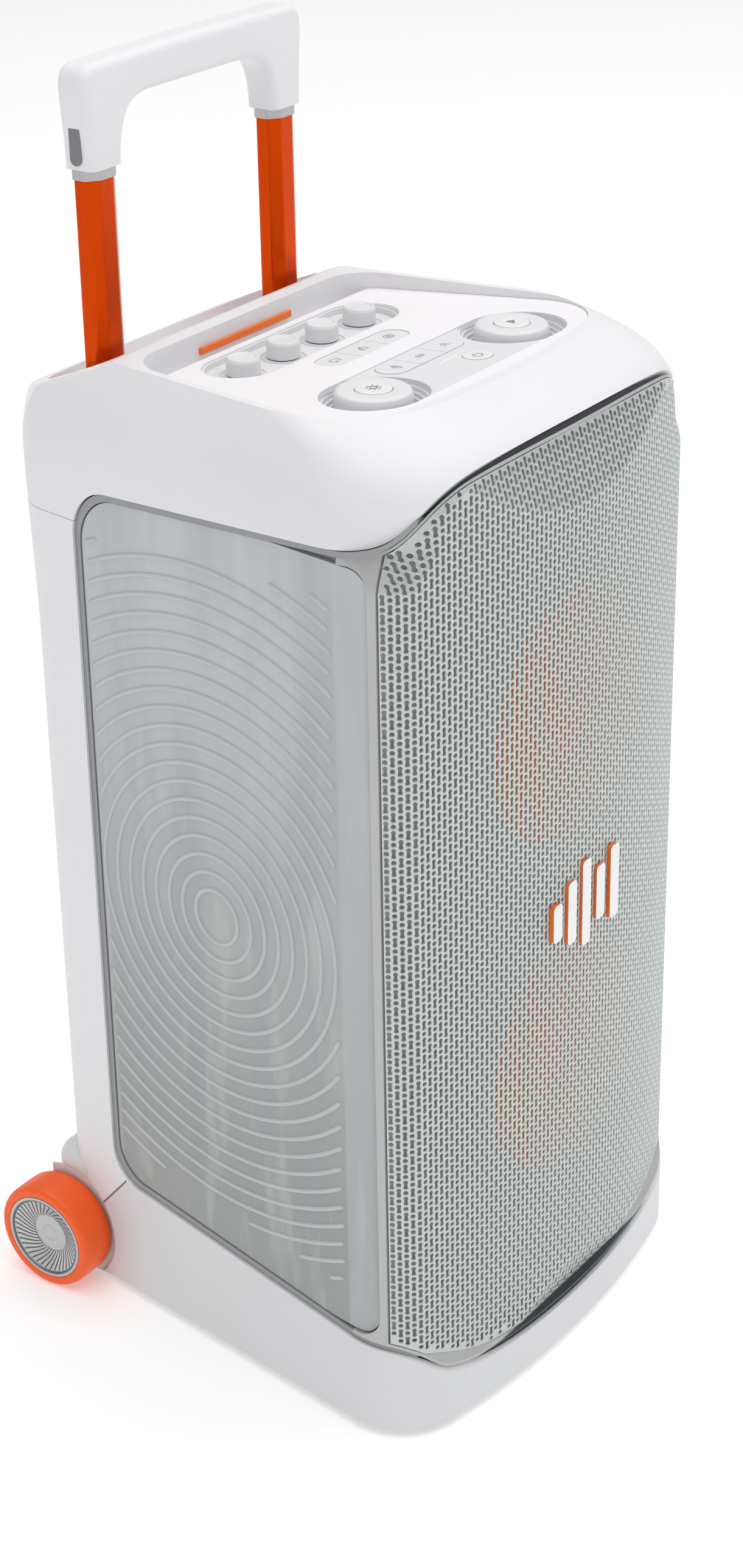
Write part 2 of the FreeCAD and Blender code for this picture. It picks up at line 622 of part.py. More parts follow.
def make_grille():
    skin = grille_volume().common(front_skin(1.2)).cut(grille_volume(1.6).common(front_skin(2.8)))
    return skin.common(window(7.0)).cut(box(-300, 300, GRILLE_SIDE[1], 0, 0, 700))


def make_front_frame():
    """Light grey frame that the grille clips into."""
    frame = front_skin(0.8).cut(front_skin(9.0)).common(window(4.4))
    frame = frame.cut([box(-300, 300, FRAME_REAR_Y, 300, 0, 700), panel_shape(0.9)])
    opening = window(6.4).common(box(-300, 300, -400, GRILLE_SIDE[1] + 0.8, 0, 700))
    return frame.cut(opening)


def make_gap_trims():
    """Charcoal strips between the white mouldings and the front frame."""
    strip = front_skin(4.2).cut(front_skin(9.0)).common(window(0.4)).cut(window(4.2))
    strip = strip.cut(box(-300, 300, STRIP_REAR_Y, 300, 0, 700))
    return [strip.common(box(-300, 300, -300, 0, 300, 700)), strip.common(box(-300, 300, -300, 0, 0, 300))]


def make_badge():
    """Five plain upright bars of different heights on the grille."""
    bars = []
    for i, height in enumerate(BADGE_BARS):
        x = BADGE[0] + (i - 2) * BAR_PITCH
        bars.append(rounded_box(x - BAR_WIDTH / 2, x + BAR_WIDTH / 2, FRONT_Y, GRILLE_FRONT + 3.4,
                                BADGE[1] - height / 2, BADGE[1] + height / 2, 3.0, (0, 1, 0)))
    skin = grille_volume(-0.15)
    return [bar.cut(skin) for bar in bars]


# ---- side light panels ---------------------------------------------------------
def right_half(shape):
    return shape.common(box(0, 300, -300, 300, -10, 900))


def panel_shape(grow=0.0):
    """The side panel's outline seen from the side, pushed right through the body."""
    block = rounded_box(-300, 300, PANEL_FRONT_Y - grow, 140, 78 - grow, 600 + grow, 14 + grow, (1, 0, 0))
    return block.common(window(5.0 - grow))


def make_side_panel():
    return right_half(band(30, 660, 3.0, 6.0).common(panel_shape()))


def make_side_trim():
    """Dark frame that holds the light panel."""
    edge = window(0.6)
    trim = band(30, 660, 6.3, 10.0).common(edge).cut(window(15.0))
    trim = trim.fuse(band(30, 660, TRIM_INSET, 6.4).common(edge).cut(window(4.4)))
    beside_frame = box(-300, 300, -300, FRAME_REAR_Y + 0.6, 0, 900)
    beside_strip = box(-300, 300, -300, STRIP_REAR_Y + 0.4, 0, 900)
    return right_half(trim.cut([window(4.0).common(beside_frame), beside_strip]))


def make_light_board():
    """A circuit board behind the panel with a grid of light emitters."""
    board = right_half(band(110, 560, 12.6, 14.2).common(box(-300, 300, -120, 92, 0, 900)))
    return board


# ---- control deck --------------------------------------------------------------
def deck_z(y):
    (y0, z0), (y1, z1) = DECK_REAR, DECK_FRONT
    return z0 + (y - y0) * (z1 - z0) / (y1 - y0)


def deck_layer(below, thickness, reach=200.0):
    """A sloping slab whose top lies a given depth under the deck's surface."""
    top = [(-reach, deck_z(-reach) - below), (reach, deck_z(reach) - below)]
    return profile_x(top + [(y, z - thickness) for y, z in top[::-1]])


def make_control_deck():
    """The sloping deck inside the rim, with the tablet groove along its rear."""
    inside = deck_well(630, 690, 0.3)
    rear = box(-300, 300, DECK_REAR[0], 300, 600, 700)
    plate = deck_layer(0, DECK_T).common(inside).cut(rear)
    floor = inside.common(box(-300, 300, DECK_REAR[0] - 2.5, 300, GROOVE_FLOOR - 3, GROOVE_FLOOR))
    wall = inside.common(box(-300, 300, DECK_REAR[0] - 2.5, DECK_REAR[0], GROOVE_FLOOR - 3, 662))
    wall = wall.common(deck_layer(0, 30))
    deck = plate.fuse([floor, wall])
    holes = [stadium(MIC_BED[0], MIC_BED[1], 60, (0, MIC_Y, 630)),
             stadium(MAIN_BED[0], MAIN_BED[1], 60, (0, MAIN_BED_Y, 630)),
             stadium(KEY_STRIP[0], KEY_STRIP[1], 60, (0, EFFECT_Y, 630))]
    return deck.cut(holes)


def make_mic_panel():
    """Sunken light grey bed of the four small knobs."""
    width, depth = MIC_BED
    tray = stadium(width - 0.4, depth - 0.4, 6.5, (0, MIC_Y, MIC_FLOOR - 3)).common(deck_layer(0.6, 60))
    flange = stadium(width + 5, depth + 5, 60, (0, MIC_Y, 630)).common(deck_layer(DECK_T, 1.5))
    tray = tray.fuse(flange).cut(stadium(width - 4, depth - 4, 20, (0, MIC_Y, MIC_FLOOR)))
    cuts = []
    for x in MIC_X:
        cuts.append(ring(14.2, 13.2, 1, (x, MIC_Y, MIC_FLOOR - 0.6)))
        cuts.append(cyl(7.4, 10, (x, MIC_Y, MIC_FLOOR - 5)))
    return tray.cut(cuts)


def make_main_panel():
    """Light grey bed of the big knobs, with a stepped bowl round each."""
    width, depth = MAIN_BED
    bed = stadium(width - 0.4, depth - 0.4, 60, (0, MAIN_BED_Y, 630))
    panel = bed.common(deck_layer(0.7, 3.0))
    flange = stadium(width + 5, depth + 5, 60, (0, MAIN_BED_Y, 630)).common(deck_layer(DECK_T, 1.5))
    panel = panel.fuse(flange)
    cups = [cyl(BOWL_R + 1.6, 60, (s * KNOB_X, KNOB_Y, BED_TOP - 3)) for s in (-1, 1)]
    panel = panel.fuse([cup.common(bed).common(deck_layer(0.7, 60)) for cup in cups])
    cuts = []
    for side in (-1, 1):
        for i in range(BOWL_STEPS):
            floor = BED_TOP + (BOWL_STEPS - 1 - i) * 2.4
            cuts.append(cyl(BOWL_R - 1.8 * i, 60, (side * KNOB_X, KNOB_Y, floor)))
        cuts.append(cyl(7.4, 60, (side * KNOB_X, KNOB_Y, BED_TOP - 5)))
    cuts.append(stadium(KEY_STRIP[0] - 6, KEY_STRIP[1], 60, (0, LINK_Y, 630)))
    cuts.append(cyl(POWER_R, 60, (POWER[0], POWER[1], 630)))
    return panel.cut(cuts)


def key_strip(length, y, below):
    """Three keys that share one rounded strip, left to right."""
    slab = stadium(length - 0.7, KEY_STRIP[1] - 0.7, 60, (0, y, 630)).common(deck_layer(below, 5.0))
    third = length / 3
    keys = []
    for i in (-1, 0, 1):
        cell = box((i - 0.5) * third + 0.2, (i + 0.5) * third - 0.2, y - 20, y + 20, 600, 700)
        post = cyl(2.4, 30, (i * third, y, 650)).common(deck_layer(below + 2, 10))
        keys.append(slab.common(cell).fuse(post))
    return keys


def make_power_key():
    return cyl(POWER_R - 0.35, 60, (POWER[0], POWER[1], 630)).common(deck_layer(0.4, 6.0))


def make_tablet_strip():
    """Coloured bar on the rim's inner wall, above the tablet groove."""
    return rounded_box(-46, 46, 63.6, 65.7, 657.6, 662.4, 1.0, (1, 0, 0))


def make_big_knob(side):
    """A knob ring with a stem; its push cap sits in the middle."""
    x = side * KNOB_X
    z0 = BED_TOP + 0.8
    outline = [(11.4, z0 + 6), (11.4, 671.2), (20.5, 671.2), (22.6, 670.2), (KNOB_R, 667.6), (KNOB_R, z0),
               (20.5, z0), (20.5, z0 + 3), (3.0, z0 + 3), (3.0, 644.5), (0, 644.5), (0, z0 + 6)]
    return revolve([(r, z) for r, z in outline], (x, KNOB_Y, 0), (0, 0, 1))


def make_push_cap(side):
    outline = [(0, 664.2), (11.0, 664.2), (11.0, 671.0), (10.2, 671.8), (0, 671.8)]
    return revolve(outline, (side * KNOB_X, KNOB_Y, 0), (0, 0, 1))


def make_mic_knob(x):
    z0 = MIC_FLOOR + 0.7
    top = 668.4
    outline = [(0, top - 0.9), (7.6, top - 0.9), (8.6, top), (9.6, top - 0.4), (MIC_R, top - 2), (MIC_R, z0),
               (8.6, z0), (8.6, z0 + 6), (3.0, z0 + 6), (3.0, 644.5), (0, 644.5)]
    return revolve(outline, (x, MIC_Y, 0), (0, 0, 1))


def make_encoder_bodies():
    """Rotary encoders under the deck that carry the knobs' stems."""
    bottom = 642.0
    spots = [(s * KNOB_X, KNOB_Y, BED_TOP - 3.0) for s in (-1, 1)] + [(x, MIC_Y, MIC_FLOOR - 3.0) for x in MIC_X]
    bodies = []
    for x, y, top in spots:
        flange = ring(9.5, 3.1, 2.0, (x, y, top - 2.0))
        bodies.append(ring(7.0, 3.1, top - bottom, (x, y, bottom)).fuse(flange))
    return bodies


# ---- wheels ------------------------------------------------------------------------
def along_x(points, x0):
    """Turn an (x, r) outline about the wheel axis; x runs from a start towards the middle."""
    pts = [Vector(x0 - x, AXLE_Y, WHEEL_R + r) for x, r in points]
    return Part.Face(Part.makePolygon(pts + pts[:1])).revolve(Vector(0, AXLE_Y, WHEEL_R), Vector(1, 0, 0), 360)


TYRE = [(0, 31), (0, 35.5), (1.2, 37.4), (3.6, 38.3), (8, WHEEL_R), (21, WHEEL_R), (25.4, 38.3),
        (28, 37.2), (TYRE_W, 35), (TYRE_W, 31)]
HUB = [(0.4, 30.9), (0.4, 28.2), (2.2, 27.4), (7.6, 14), (8.0, 0), (11, 0), (11, AXLE_R + 0.05),
       (TYRE_W - 0.4, AXLE_R + 0.05), (TYRE_W - 0.4, 12), (14, 12), (14, 26), (TYRE_W - 2, 26),
       (TYRE_W - 2, 30.9)]


def make_tyre(side):
    tyre = along_x(TYRE, WHEEL_FACE_X)
    return tyre if side > 0 else mirror_x(tyre)


def make_hub(side):
    hub = along_x(HUB, WHEEL_FACE_X)
    return hub if side > 0 else mirror_x(hub)


def make_wheel_axles():
    """Stub axles held in the base's bosses."""
    stub = cyl(AXLE_R, WHEEL_FACE_X - 12 - 97, (97, AXLE_Y, WHEEL_R), (1, 0, 0))
    return both(stub)


def make_arch_liners():
    """Grey discs between the tyres and the base."""
    disc = ring(42.6, AXLE_R + 8.5, 1.2, (126.7, AXLE_Y, WHEEL_R), (1, 0, 0))
    disc = disc.common(box(100, 140, 100, 162.5, BASE_FLOOR, ARCH_TOP))
    return both(disc)


# ---- rear fittings and electronics ----------------------------------------------------
JACK_SPOTS = [(-40, 376, 8.0), (-12, 376, 8.0), (18, 376, 4.2), (42, 376, 4.2)]
USB = (-46.0, -30.0, 330.0, 338.0)
INLET = (8.0, 44.0, 326.0, 350.0)


def make_io_panel():
    """A recessed tray for the sockets."""
    tray = rear_hole(IO, -0.4).common(box(-300, 300, 139, 156.6, 0, 700))
    tray = tray.cut(rear_hole(IO, -3.0, y0=142.5))
    rim = rear_hole(IO, 3.0).common(box(-300, 300, 151.4, 153.8, 0, 700)).cut(rear_hole(IO, -0.4))
    tray = tray.fuse(rim)
    holes = [cyl(r, 40, (x, 130, z), (0, 1, 0)) for x, z, r in JACK_SPOTS]
    holes.append(box(USB[0], USB[1], 130, 160, USB[2], USB[3]))
    holes.append(box(INLET[0], INLET[1], 130, 160, INLET[2], INLET[3]))
    return tray.cut(holes)


def make_io_sockets():
    """Audio sockets, two large and two small, with open bores, and a USB socket."""
    jacks = []
    for x, z, r in JACK_SPOTS:
        body = cyl(r - 0.3, 26, (x, 120, z), (0, 1, 0))
        jacks.append(body.cut(cyl(r * 0.42, 22, (x, 125, z), (0, 1, 0))))
    x0, x1, z0, z1 = USB
    shell = box(x0 + 0.3, x1 - 0.3, 124, 144, z0 + 0.3, z1 - 0.3)
    return jacks + [shell.cut(box(x0 + 1, x1 - 1, 127, 150, z0 + 1, z1 - 1))]


def make_mains_inlet():
    """Two-pin mains inlet in the connector tray."""
    x0, x1, z0, z1 = INLET
    body = rounded_box(x0 + 0.3, x1 - 0.3, 118, 145, z0 + 0.3, z1 - 0.3, 6, (0, 1, 0))
    body = body.cut(rounded_box(x0 + 3, x1 - 3, 124, 150, z0 + 3, z1 - 3, 5, (0, 1, 0)))
    mid = ((x0 + x1) / 2, (z0 + z1) / 2)
    pins = [cyl(1.2, 16, (mid[0] + s * 6, 122, mid[1]), (0, 1, 0)) for s in (-1, 1)]
    return body.fuse(pins)


def make_port_cover():
    """Rubber flap over the sockets, hinged along its upper edge."""
    x0, x1, z0, z1 = IO
    flap = rounded_box(x0 + 4, x1 - 4, 149.4, 152.4, z0 + 5, z1 - 9, 6, (0, 1, 0))
    pin = cyl(2.2, x1 - x0 - 8, (x0 + 4, 151, z1 - 8), (1, 0, 0))
    web = box(x0 + 10, x1 - 10, 149.6, 152.2, z1 - 12, z1 - 8)
    pull = rounded_box(-12, 12, 152.3, 155.6, z0 + 8, z0 + 14, 1.4, (1, 0, 0))
    return flap.fuse([pin, web, pull])


def make_battery_door():
    """A flat door under the connectors, hinged along its lower edge."""
    x0, x1, z0, z1 = DOOR
    door = rear_hole(DOOR, -0.8, DOOR_CORNER).common(box(-300, 300, 153.8, 157.0, 0, 700))
    pin = cyl(2.0, x1 - x0 - 16, (x0 + 8, 155.4, z0 + 3.2), (1, 0, 0))
    latch = rounded_box(-14, 14, 156.8, 159.2, z1 - 18, z1 - 8, 3, (0, 1, 0))
    ribs = [box(x - 1, x + 1, 151.5, 154, z0 + 10, z1 - 10) for x in (-50, -20, 20, 50)]
    return door.fuse([pin, latch] + ribs)


def make_battery_pack():
    x0, x1, z0, z1 = DOOR
    pack = rounded_box(x0 + 12, x1 - 12, 100, 150, z0 + 2, z1 - 10, 8, (1, 0, 0))
    return pack


def make_amplifier_board():
    """Amplifier circuit board with its main parts, upright behind the cabinet."""
    board = box(-66, 66, 92, 94, 214, 470)
    parts = [box(-50, -20, 93.9, 112, 420, 460), box(10, 48, 93.9, 106, 430, 462),
             box(-55, -25, 93.9, 104, 250, 300)]
    parts += [cyl(9, 22, (x, 93.9, 240), (0, 1, 0)) for x in (0, 22, 44)]
    return board.fuse(parts)


def make_heat_sink():
    base = box(-30, 34, 94.2, 98, 310, 405)
    fins = [box(x, x + 2, 97.9, 114, 310, 405) for x in range(-28, 34, 8)]
    return base.fuse(fins)


def make_power_supply():
    return rounded_box(-60, 60, 90, 128, 560, 592, 3, (1, 0, 0))


def make_shell_screws():
    """Screws that close the rear shell, heads sunk in its rear face."""
    screws = []
    for x, z in SCREW_SPOTS:
        head = cyl(3.5, 2.2, (x, 154.4, z), (0, 1, 0))
        shank = cyl(1.6, 24, (x, 130.6, z), (0, 1, 0))
        screws.append(head.fuse(shank).cut(cyl(1.4, 3, (x, 155.4, z), (0, 1, 0))))
    return screws


# ---- the sub-parts -------------------------------------------------------------------
SIDES = {"left": -1, "right": 1}
panel = make_side_panel()
trim = make_side_trim()
light_board = make_light_board()
PARTS = {
    "top_cap": make_top_cap(),
    "control_deck": make_control_deck(),
    "mic_panel": make_mic_panel(),
    "main_panel": make_main_panel(),
    "tablet_strip": make_tablet_strip(),
    "encoder_bodies": make_encoder_bodies(),
    "base_shell": make_base_shell(),
    "rear_shell": make_rear_shell(),
    "cabinet_box": make_cabinet_box(),
    "front_baffle": make_front_baffle(),
    "front_frame": make_front_frame(),
    "gap_trims": make_gap_trims(),
    "grille": make_grille(),
    "badge": make_badge(),
    "side_panel_left": mirror_x(panel),
    "side_panel_right": panel,
    "side_trims": both(trim),
    "light_boards": both(light_board),
    "woofer_cones": woofer_set(CONE),
    "woofer_surrounds": woofer_set(SURROUND),
    "woofer_baskets": woofer_set(BASKET) + woofer_set(MAGNET),
    "woofer_trims": woofer_set(TRIM),
    "tweeters": tweeter_set(DOME) + tweeter_set(GUIDE),
    "bass_ports": make_bass_ports(),
    "amplifier_board": [make_amplifier_board(), make_heat_sink()],
    "power_supply": make_power_supply(),
    "battery_pack": make_battery_pack(),
    "battery_door": make_battery_door(),
    "io_panel": make_io_panel(),
    "io_sockets": make_io_sockets(),
    "mains_inlet": make_mains_inlet(),
    "port_cover": make_port_cover(),
    "shell_screws": make_shell_screws(),
    "rubber_feet": make_feet(),
    "wheel_axles": make_wheel_axles(),
    "wheel_arch_liners": make_arch_liners(),
    "handle_sleeves": make_handle_sleeves(),
    "handle_tubes": make_handle_tubes(),
    "handle_collars": make_handle_collars(),
    "handle_grip": make_handle_grip(),
    "grip_inlays": make_grip_inlays(),
    "power_key": make_power_key(),
}
for name, side in SIDES.items():
    PARTS["tyre_" + name] = make_tyre(side)
    PARTS["wheel_hub_" + name] = make_hub(side)
PARTS["light_knob"] = make_big_knob(-1)
PARTS["light_knob_cap"] = make_push_cap(-1)
PARTS["volume_knob"] = make_big_knob(1)
PARTS["play_knob_cap"] = make_push_cap(1)
for name, x in zip(("mic_level_knob", "bass_knob", "treble_knob", "echo_knob"), MIC_X):
    PARTS[name] = make_mic_knob(x)
for name, key in zip(("chat_key", "cheer_key", "record_key"), key_strip(KEY_STRIP[0], EFFECT_Y, 0.5)):
    PARTS[name] = key
for name, key in zip(("wireless_key", "link_key", "boost_key"), key_strip(KEY_STRIP[0] - 6, LINK_Y, 0.3)):
    PARTS[name] = key

for name, shape in PARTS.items():
    save(name, shape)
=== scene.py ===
import bpy
import json
import math
import numpy as np
from mathutils import Matrix, Vector
from mathutils.bvhtree import BVHTree


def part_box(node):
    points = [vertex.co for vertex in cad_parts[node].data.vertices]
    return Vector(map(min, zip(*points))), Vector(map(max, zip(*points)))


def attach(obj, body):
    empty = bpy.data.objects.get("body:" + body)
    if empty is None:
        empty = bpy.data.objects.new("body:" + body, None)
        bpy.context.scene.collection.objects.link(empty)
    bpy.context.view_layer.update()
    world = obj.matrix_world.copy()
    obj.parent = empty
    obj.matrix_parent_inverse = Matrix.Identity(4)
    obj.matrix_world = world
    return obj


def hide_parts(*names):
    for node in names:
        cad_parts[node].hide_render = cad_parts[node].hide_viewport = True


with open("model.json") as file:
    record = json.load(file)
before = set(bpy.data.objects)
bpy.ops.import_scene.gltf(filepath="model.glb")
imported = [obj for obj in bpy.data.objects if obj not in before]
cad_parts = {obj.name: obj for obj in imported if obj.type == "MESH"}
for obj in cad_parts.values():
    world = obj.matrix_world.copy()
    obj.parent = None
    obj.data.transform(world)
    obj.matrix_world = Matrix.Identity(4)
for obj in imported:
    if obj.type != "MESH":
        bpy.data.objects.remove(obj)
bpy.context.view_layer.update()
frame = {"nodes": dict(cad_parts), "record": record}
MM = 0.001
NODES = frame["nodes"]


# ---- camera, floor and lights --------------------------------------------------
CAMERA_AT = (-1.39047, -1.01397, 1.21498)
CAMERA_AZIMUTH = math.radians(-54.57)
CAMERA_ELEVATION = math.radians(26.34)
CAMERA_ROLL = math.radians(-1.06)
CAMERA_LENS = 67.2
SKY_STRENGTH = 0.52
FLOOR_REACH = 30.0            # metres from the middle to each edge
FLOOR_GLOW = 0.26             # keeps the floor white under the soft light


def make_camera():
    """A camera in front of the left corner, looking down on the speaker."""
    data = bpy.data.cameras.new("camera")
    data.lens = CAMERA_LENS
    data.sensor_width = 36.0
    data.clip_end = 50.0
    camera = bpy.data.objects.new("camera", data)
    bpy.context.scene.collection.objects.link(camera)
    a, e = CAMERA_AZIMUTH, CAMERA_ELEVATION
    back = Vector((math.sin(a) * math.cos(e), -math.cos(a) * math.cos(e), math.sin(e)))
    right = Vector((math.cos(a), math.sin(a), 0))
    up = back.cross(right)
    turned = right * math.cos(CAMERA_ROLL) + up * math.sin(CAMERA_ROLL)
    up = back.cross(turned)
    matrix = Matrix((turned, up, back)).transposed().to_4x4()
    matrix.translation = CAMERA_AT
    camera.matrix_world = matrix
    bpy.context.scene.camera = camera


def area_light(name, at, target, size, power):
    """A rectangular light that faces a target; size in metres, power in watts."""
    data = bpy.data.lights.new(name, "AREA")
    data.shape = "RECTANGLE"
    data.size, data.size_y = size
    data.energy = power
    light = bpy.data.objects.new(name, data)
    bpy.context.scene.collection.objects.link(light)
    light.location = at
    light.rotation_euler = (Vector(target) - Vector(at)).to_track_quat("-Z", "Y").to_euler()


def make_studio():
    """A white floor and sky, a large light overhead and two weak ones at the sides."""
    world = bpy.data.worlds.new("studio")
    bpy.context.scene.world = world
    world.use_nodes = True
    sky = world.node_tree.nodes["Background"]
    sky.inputs["Color"].default_value = (1.0, 1.0, 1.0, 1)
    sky.inputs["Strength"].default_value = SKY_STRENGTH
    area_light("overhead", (0.4, -0.6, 4.2), (0, 0, 0), (6.0, 6.0), 150)
    area_light("front_right", (2.0, -2.4, 1.7), (0, -0.1, 0.4), (1.2, 2.0), 1)
    area_light("left_strip", (-2.6, 0.5, 1.9), (0, 0, 0.6), (0.5, 2.2), 1.5)
    mesh = bpy.data.meshes.new("floor")
    corners = [(-FLOOR_REACH, -FLOOR_REACH, 0), (FLOOR_REACH, -FLOOR_REACH, 0),
               (FLOOR_REACH, FLOOR_REACH, 0), (-FLOOR_REACH, FLOOR_REACH, 0)]
    mesh.from_pydata(corners, [], [(0, 1, 2, 3)])
    floor = bpy.data.objects.new("floor", mesh)
    bpy.context.scene.collection.objects.link(floor)
    material = bpy.data.materials.new("floor_white")
    material.use_nodes = True
    shader = material.node_tree.nodes["Principled BSDF"]
    shader.inputs["Base Color"].default_value = (0.90, 0.90, 0.90, 1)
    shader.inputs["Roughness"].default_value = 0.9
    shader.inputs["Specular IOR Level"].default_value = 0.0
    shader.inputs["Emission Color"].default_value = (1, 1, 1, 1)
    shader.inputs["Emission Strength"].default_value = FLOOR_GLOW
    mesh.materials.append(material)


make_camera()
make_studio()
bpy.context.scene.view_settings.view_transform = "Standard"


# ---- materials -------------------------------------------------------------------
class Paint:
    """A node material built step by step on a Principled shader, in the row frame."""

    def __init__(self, name, color, roughness=0.5, metallic=0.0, **sockets):
        self.material = bpy.data.materials.new(name)
        self.material.use_nodes = True
        self.tree = self.material.node_tree
        self.shader = self.tree.nodes["Principled BSDF"]
        self.shader.inputs["Metallic"].default_value = metallic
        for socket, value in sockets.items():
            self.shader.inputs[socket.replace("_", " ")].default_value = value
        self.place = self.tree.nodes.new("ShaderNodeTexCoord").outputs["Object"]
        self.color = color
        self.color_socket = None
        self.normal = None
        self.shader.inputs["Base Color"].default_value = (*color, 1)
        self.shader.inputs["Roughness"].default_value = roughness

    def node(self, kind, **inputs):
        made = self.tree.nodes.new(kind)
        for key, value in inputs.items():
            made.inputs[key.replace("_", " ")].default_value = value
        return made

    def link(self, source, target):
        self.tree.links.new(source, target)

    def noise(self, scale, detail=2.0, stretch=(1, 1, 1)):
        """A noise value from 0 to 1; scale is in features per metre."""
        mapping = self.node("ShaderNodeMapping")
        mapping.inputs["Scale"].default_value = stretch
        self.link(self.place, mapping.inputs["Vector"])
        made = self.node("ShaderNodeTexNoise", Scale=scale, Detail=detail)
        self.link(mapping.outputs["Vector"], made.inputs["Vector"])
        return made.outputs["Fac"]

    def ramp(self, value, low, high):
        """Maps low..high to 0..1, clamped."""
        made = self.node("ShaderNodeMapRange", From_Min=low, From_Max=high)
        self.link(value, made.inputs["Value"])
        return made.outputs["Result"]

    def tint(self, fac, color, amount=1.0):
        """Mixes another colour over the present one where fac is 1."""
        mix = self.tree.nodes.new("ShaderNodeMix")
        mix.data_type = "RGBA"
        self.link(self.math("MULTIPLY", fac, float(amount)), mix.inputs["Factor"])
        if self.color_socket is None:
            mix.inputs["A"].default_value = (*self.color, 1)
        else:
            self.link(self.color_socket, mix.inputs["A"])
        mix.inputs["B"].default_value = (*color, 1)
        self.color_socket = mix.outputs["Result"]
        self.link(self.color_socket, self.shader.inputs["Base Color"])

    def rough(self, fac, low, high):
        """Roughness runs from low to high with fac."""
        made = self.node("ShaderNodeMapRange", To_Min=low, To_Max=high)
        self.link(fac, made.inputs["Value"])
        self.link(made.outputs["Result"], self.shader.inputs["Roughness"])

    def bump(self, fac, height, strength=1.0):
        """Relief; height is in metres."""
        made = self.node("ShaderNodeBump", Strength=strength, Distance=height)
        self.link(fac, made.inputs["Height"])
        if self.normal is not None:
            self.link(self.normal, made.inputs["Normal"])
        self.normal = made.outputs["Normal"]
        self.link(self.normal, self.shader.inputs["Normal"])

    def glow(self, fac, color, strength):
        """A weak light of its own where fac is 1."""
        self.shader.inputs["Emission Color"].default_value = (*color, 1)
        made = self.node("ShaderNodeMapRange", To_Max=strength)
        self.link(fac, made.inputs["Value"])
        self.link(made.outputs["Result"], self.shader.inputs["Emission Strength"])

    def math(self, kind, a, b=None):
        """A Math node on two sockets, or on a socket and a number."""
        made = self.node("ShaderNodeMath")
        made.operation = kind
        self.link(a, made.inputs[0])
        if isinstance(b, float):
            made.inputs[1].default_value = b
        elif b is not None:
            self.link(b, made.inputs[1])
        return made.outputs[0]

    def vector(self, kind, a, b, output=0):
        """A vector Math node on a socket and a constant."""
        made = self.node("ShaderNodeVectorMath")
        made.operation = kind
        self.link(a, made.inputs[0])
        made.inputs[1].default_value = b
        return made.outputs[output]

    def past(self, axis, low, high):
        """0 below low and 1 above high along one axis of the row frame, in metres."""
        split = self.node("ShaderNodeSeparateXYZ")
        self.link(self.place, split.inputs["Vector"])
        return self.ramp(split.outputs[axis], low, high)

    def within(self, axis, low, high, soft=0.001):
        """1 between low and high along one axis, 0 elsewhere."""
        below_top = self.past(axis, high + soft, high)
        return self.math("MULTIPLY", self.past(axis, low - soft, low), below_top)


GRAIN_SCALE = 1500            # grains per metre
GRAIN_HEIGHT = 0.00004


def grained_paint(name, color, roughness=0.42):
    """Moulded plastic with a fine spark-eroded grain and faint handling marks."""
    paint = Paint(name, color, roughness)
    darker = tuple(c * 0.93 for c in color)
    paint.tint(paint.ramp(paint.noise(9, 4), 0.35, 0.7), darker, 0.35)
    paint.tint(paint.ramp(paint.noise(GRAIN_SCALE, 1), 0.35, 0.65), darker, 0.3)
    paint.rough(paint.noise(GRAIN_SCALE * 0.5, 3), roughness - 0.08, roughness + 0.10)
    paint.bump(paint.noise(GRAIN_SCALE, 2), GRAIN_HEIGHT, 0.8)
    return paint


def grained_plastic(name, color, roughness=0.42):
    """The material of a grained shell."""
    return grained_paint(name, color, roughness).material


def smooth_plastic(name, color, roughness=0.3):
    """Fine satin plastic, as on knobs and keys."""
    paint = Paint(name, color, roughness)
    paint.tint(paint.ramp(paint.noise(35, 3), 0.3, 0.7), tuple(c * 0.95 for c in color), 0.5)
    paint.rough(paint.noise(260, 4), roughness - 0.06, roughness + 0.12)
    paint.bump(paint.noise(3200, 1), 0.00001, 0.6)
    return paint.material


def painted_sheet(name, color, roughness, metallic):
    """Powder-coated metal sheet: a fine metallic fleck and slow colour drift."""
    paint = Paint(name, color, roughness, metallic)
    paint.tint(paint.ramp(paint.noise(7, 3), 0.3, 0.75), tuple(c * 0.9 for c in color), 0.4)
    paler = tuple(min(c * 1.25, 1) for c in color)
    paint.tint(paint.ramp(paint.noise(2600, 1), 0.45, 0.7), paler, 0.4)
    paint.rough(paint.noise(900, 2), roughness - 0.05, roughness + 0.12)
    paint.bump(paint.noise(2600, 1), 0.00001, 0.5)
    return paint.material


def brushed_metal(name, color, roughness, along=(1, 1, 0.03)):
    """Anodised or brushed metal with fine lines along one axis."""
    paint = Paint(name, color, roughness, 1.0)
    lines = paint.noise(1800, 3, along)
    paint.tint(paint.ramp(lines, 0.3, 0.7), tuple(c * 0.82 for c in color), 0.5)
    paint.tint(paint.ramp(paint.noise(14, 3), 0.4, 0.7), tuple(c * 0.88 for c in color), 0.4)
    paint.rough(lines, roughness - 0.06, roughness + 0.10)
    paint.bump(lines, 0.00001, 0.35)
    return paint.material


def rubbery(name, color, roughness):
    """Rubber: dull, with a fine skin and slightly worn patches."""
    paint = Paint(name, color, roughness)
    paint.tint(paint.ramp(paint.noise(60, 5), 0.4, 0.75), tuple(c * 0.85 for c in color), 0.5)
    paint.rough(paint.noise(180, 4), roughness - 0.1, roughness + 0.15)
    paint.bump(paint.noise(1400, 3), 0.00003, 0.7)
    return paint.material


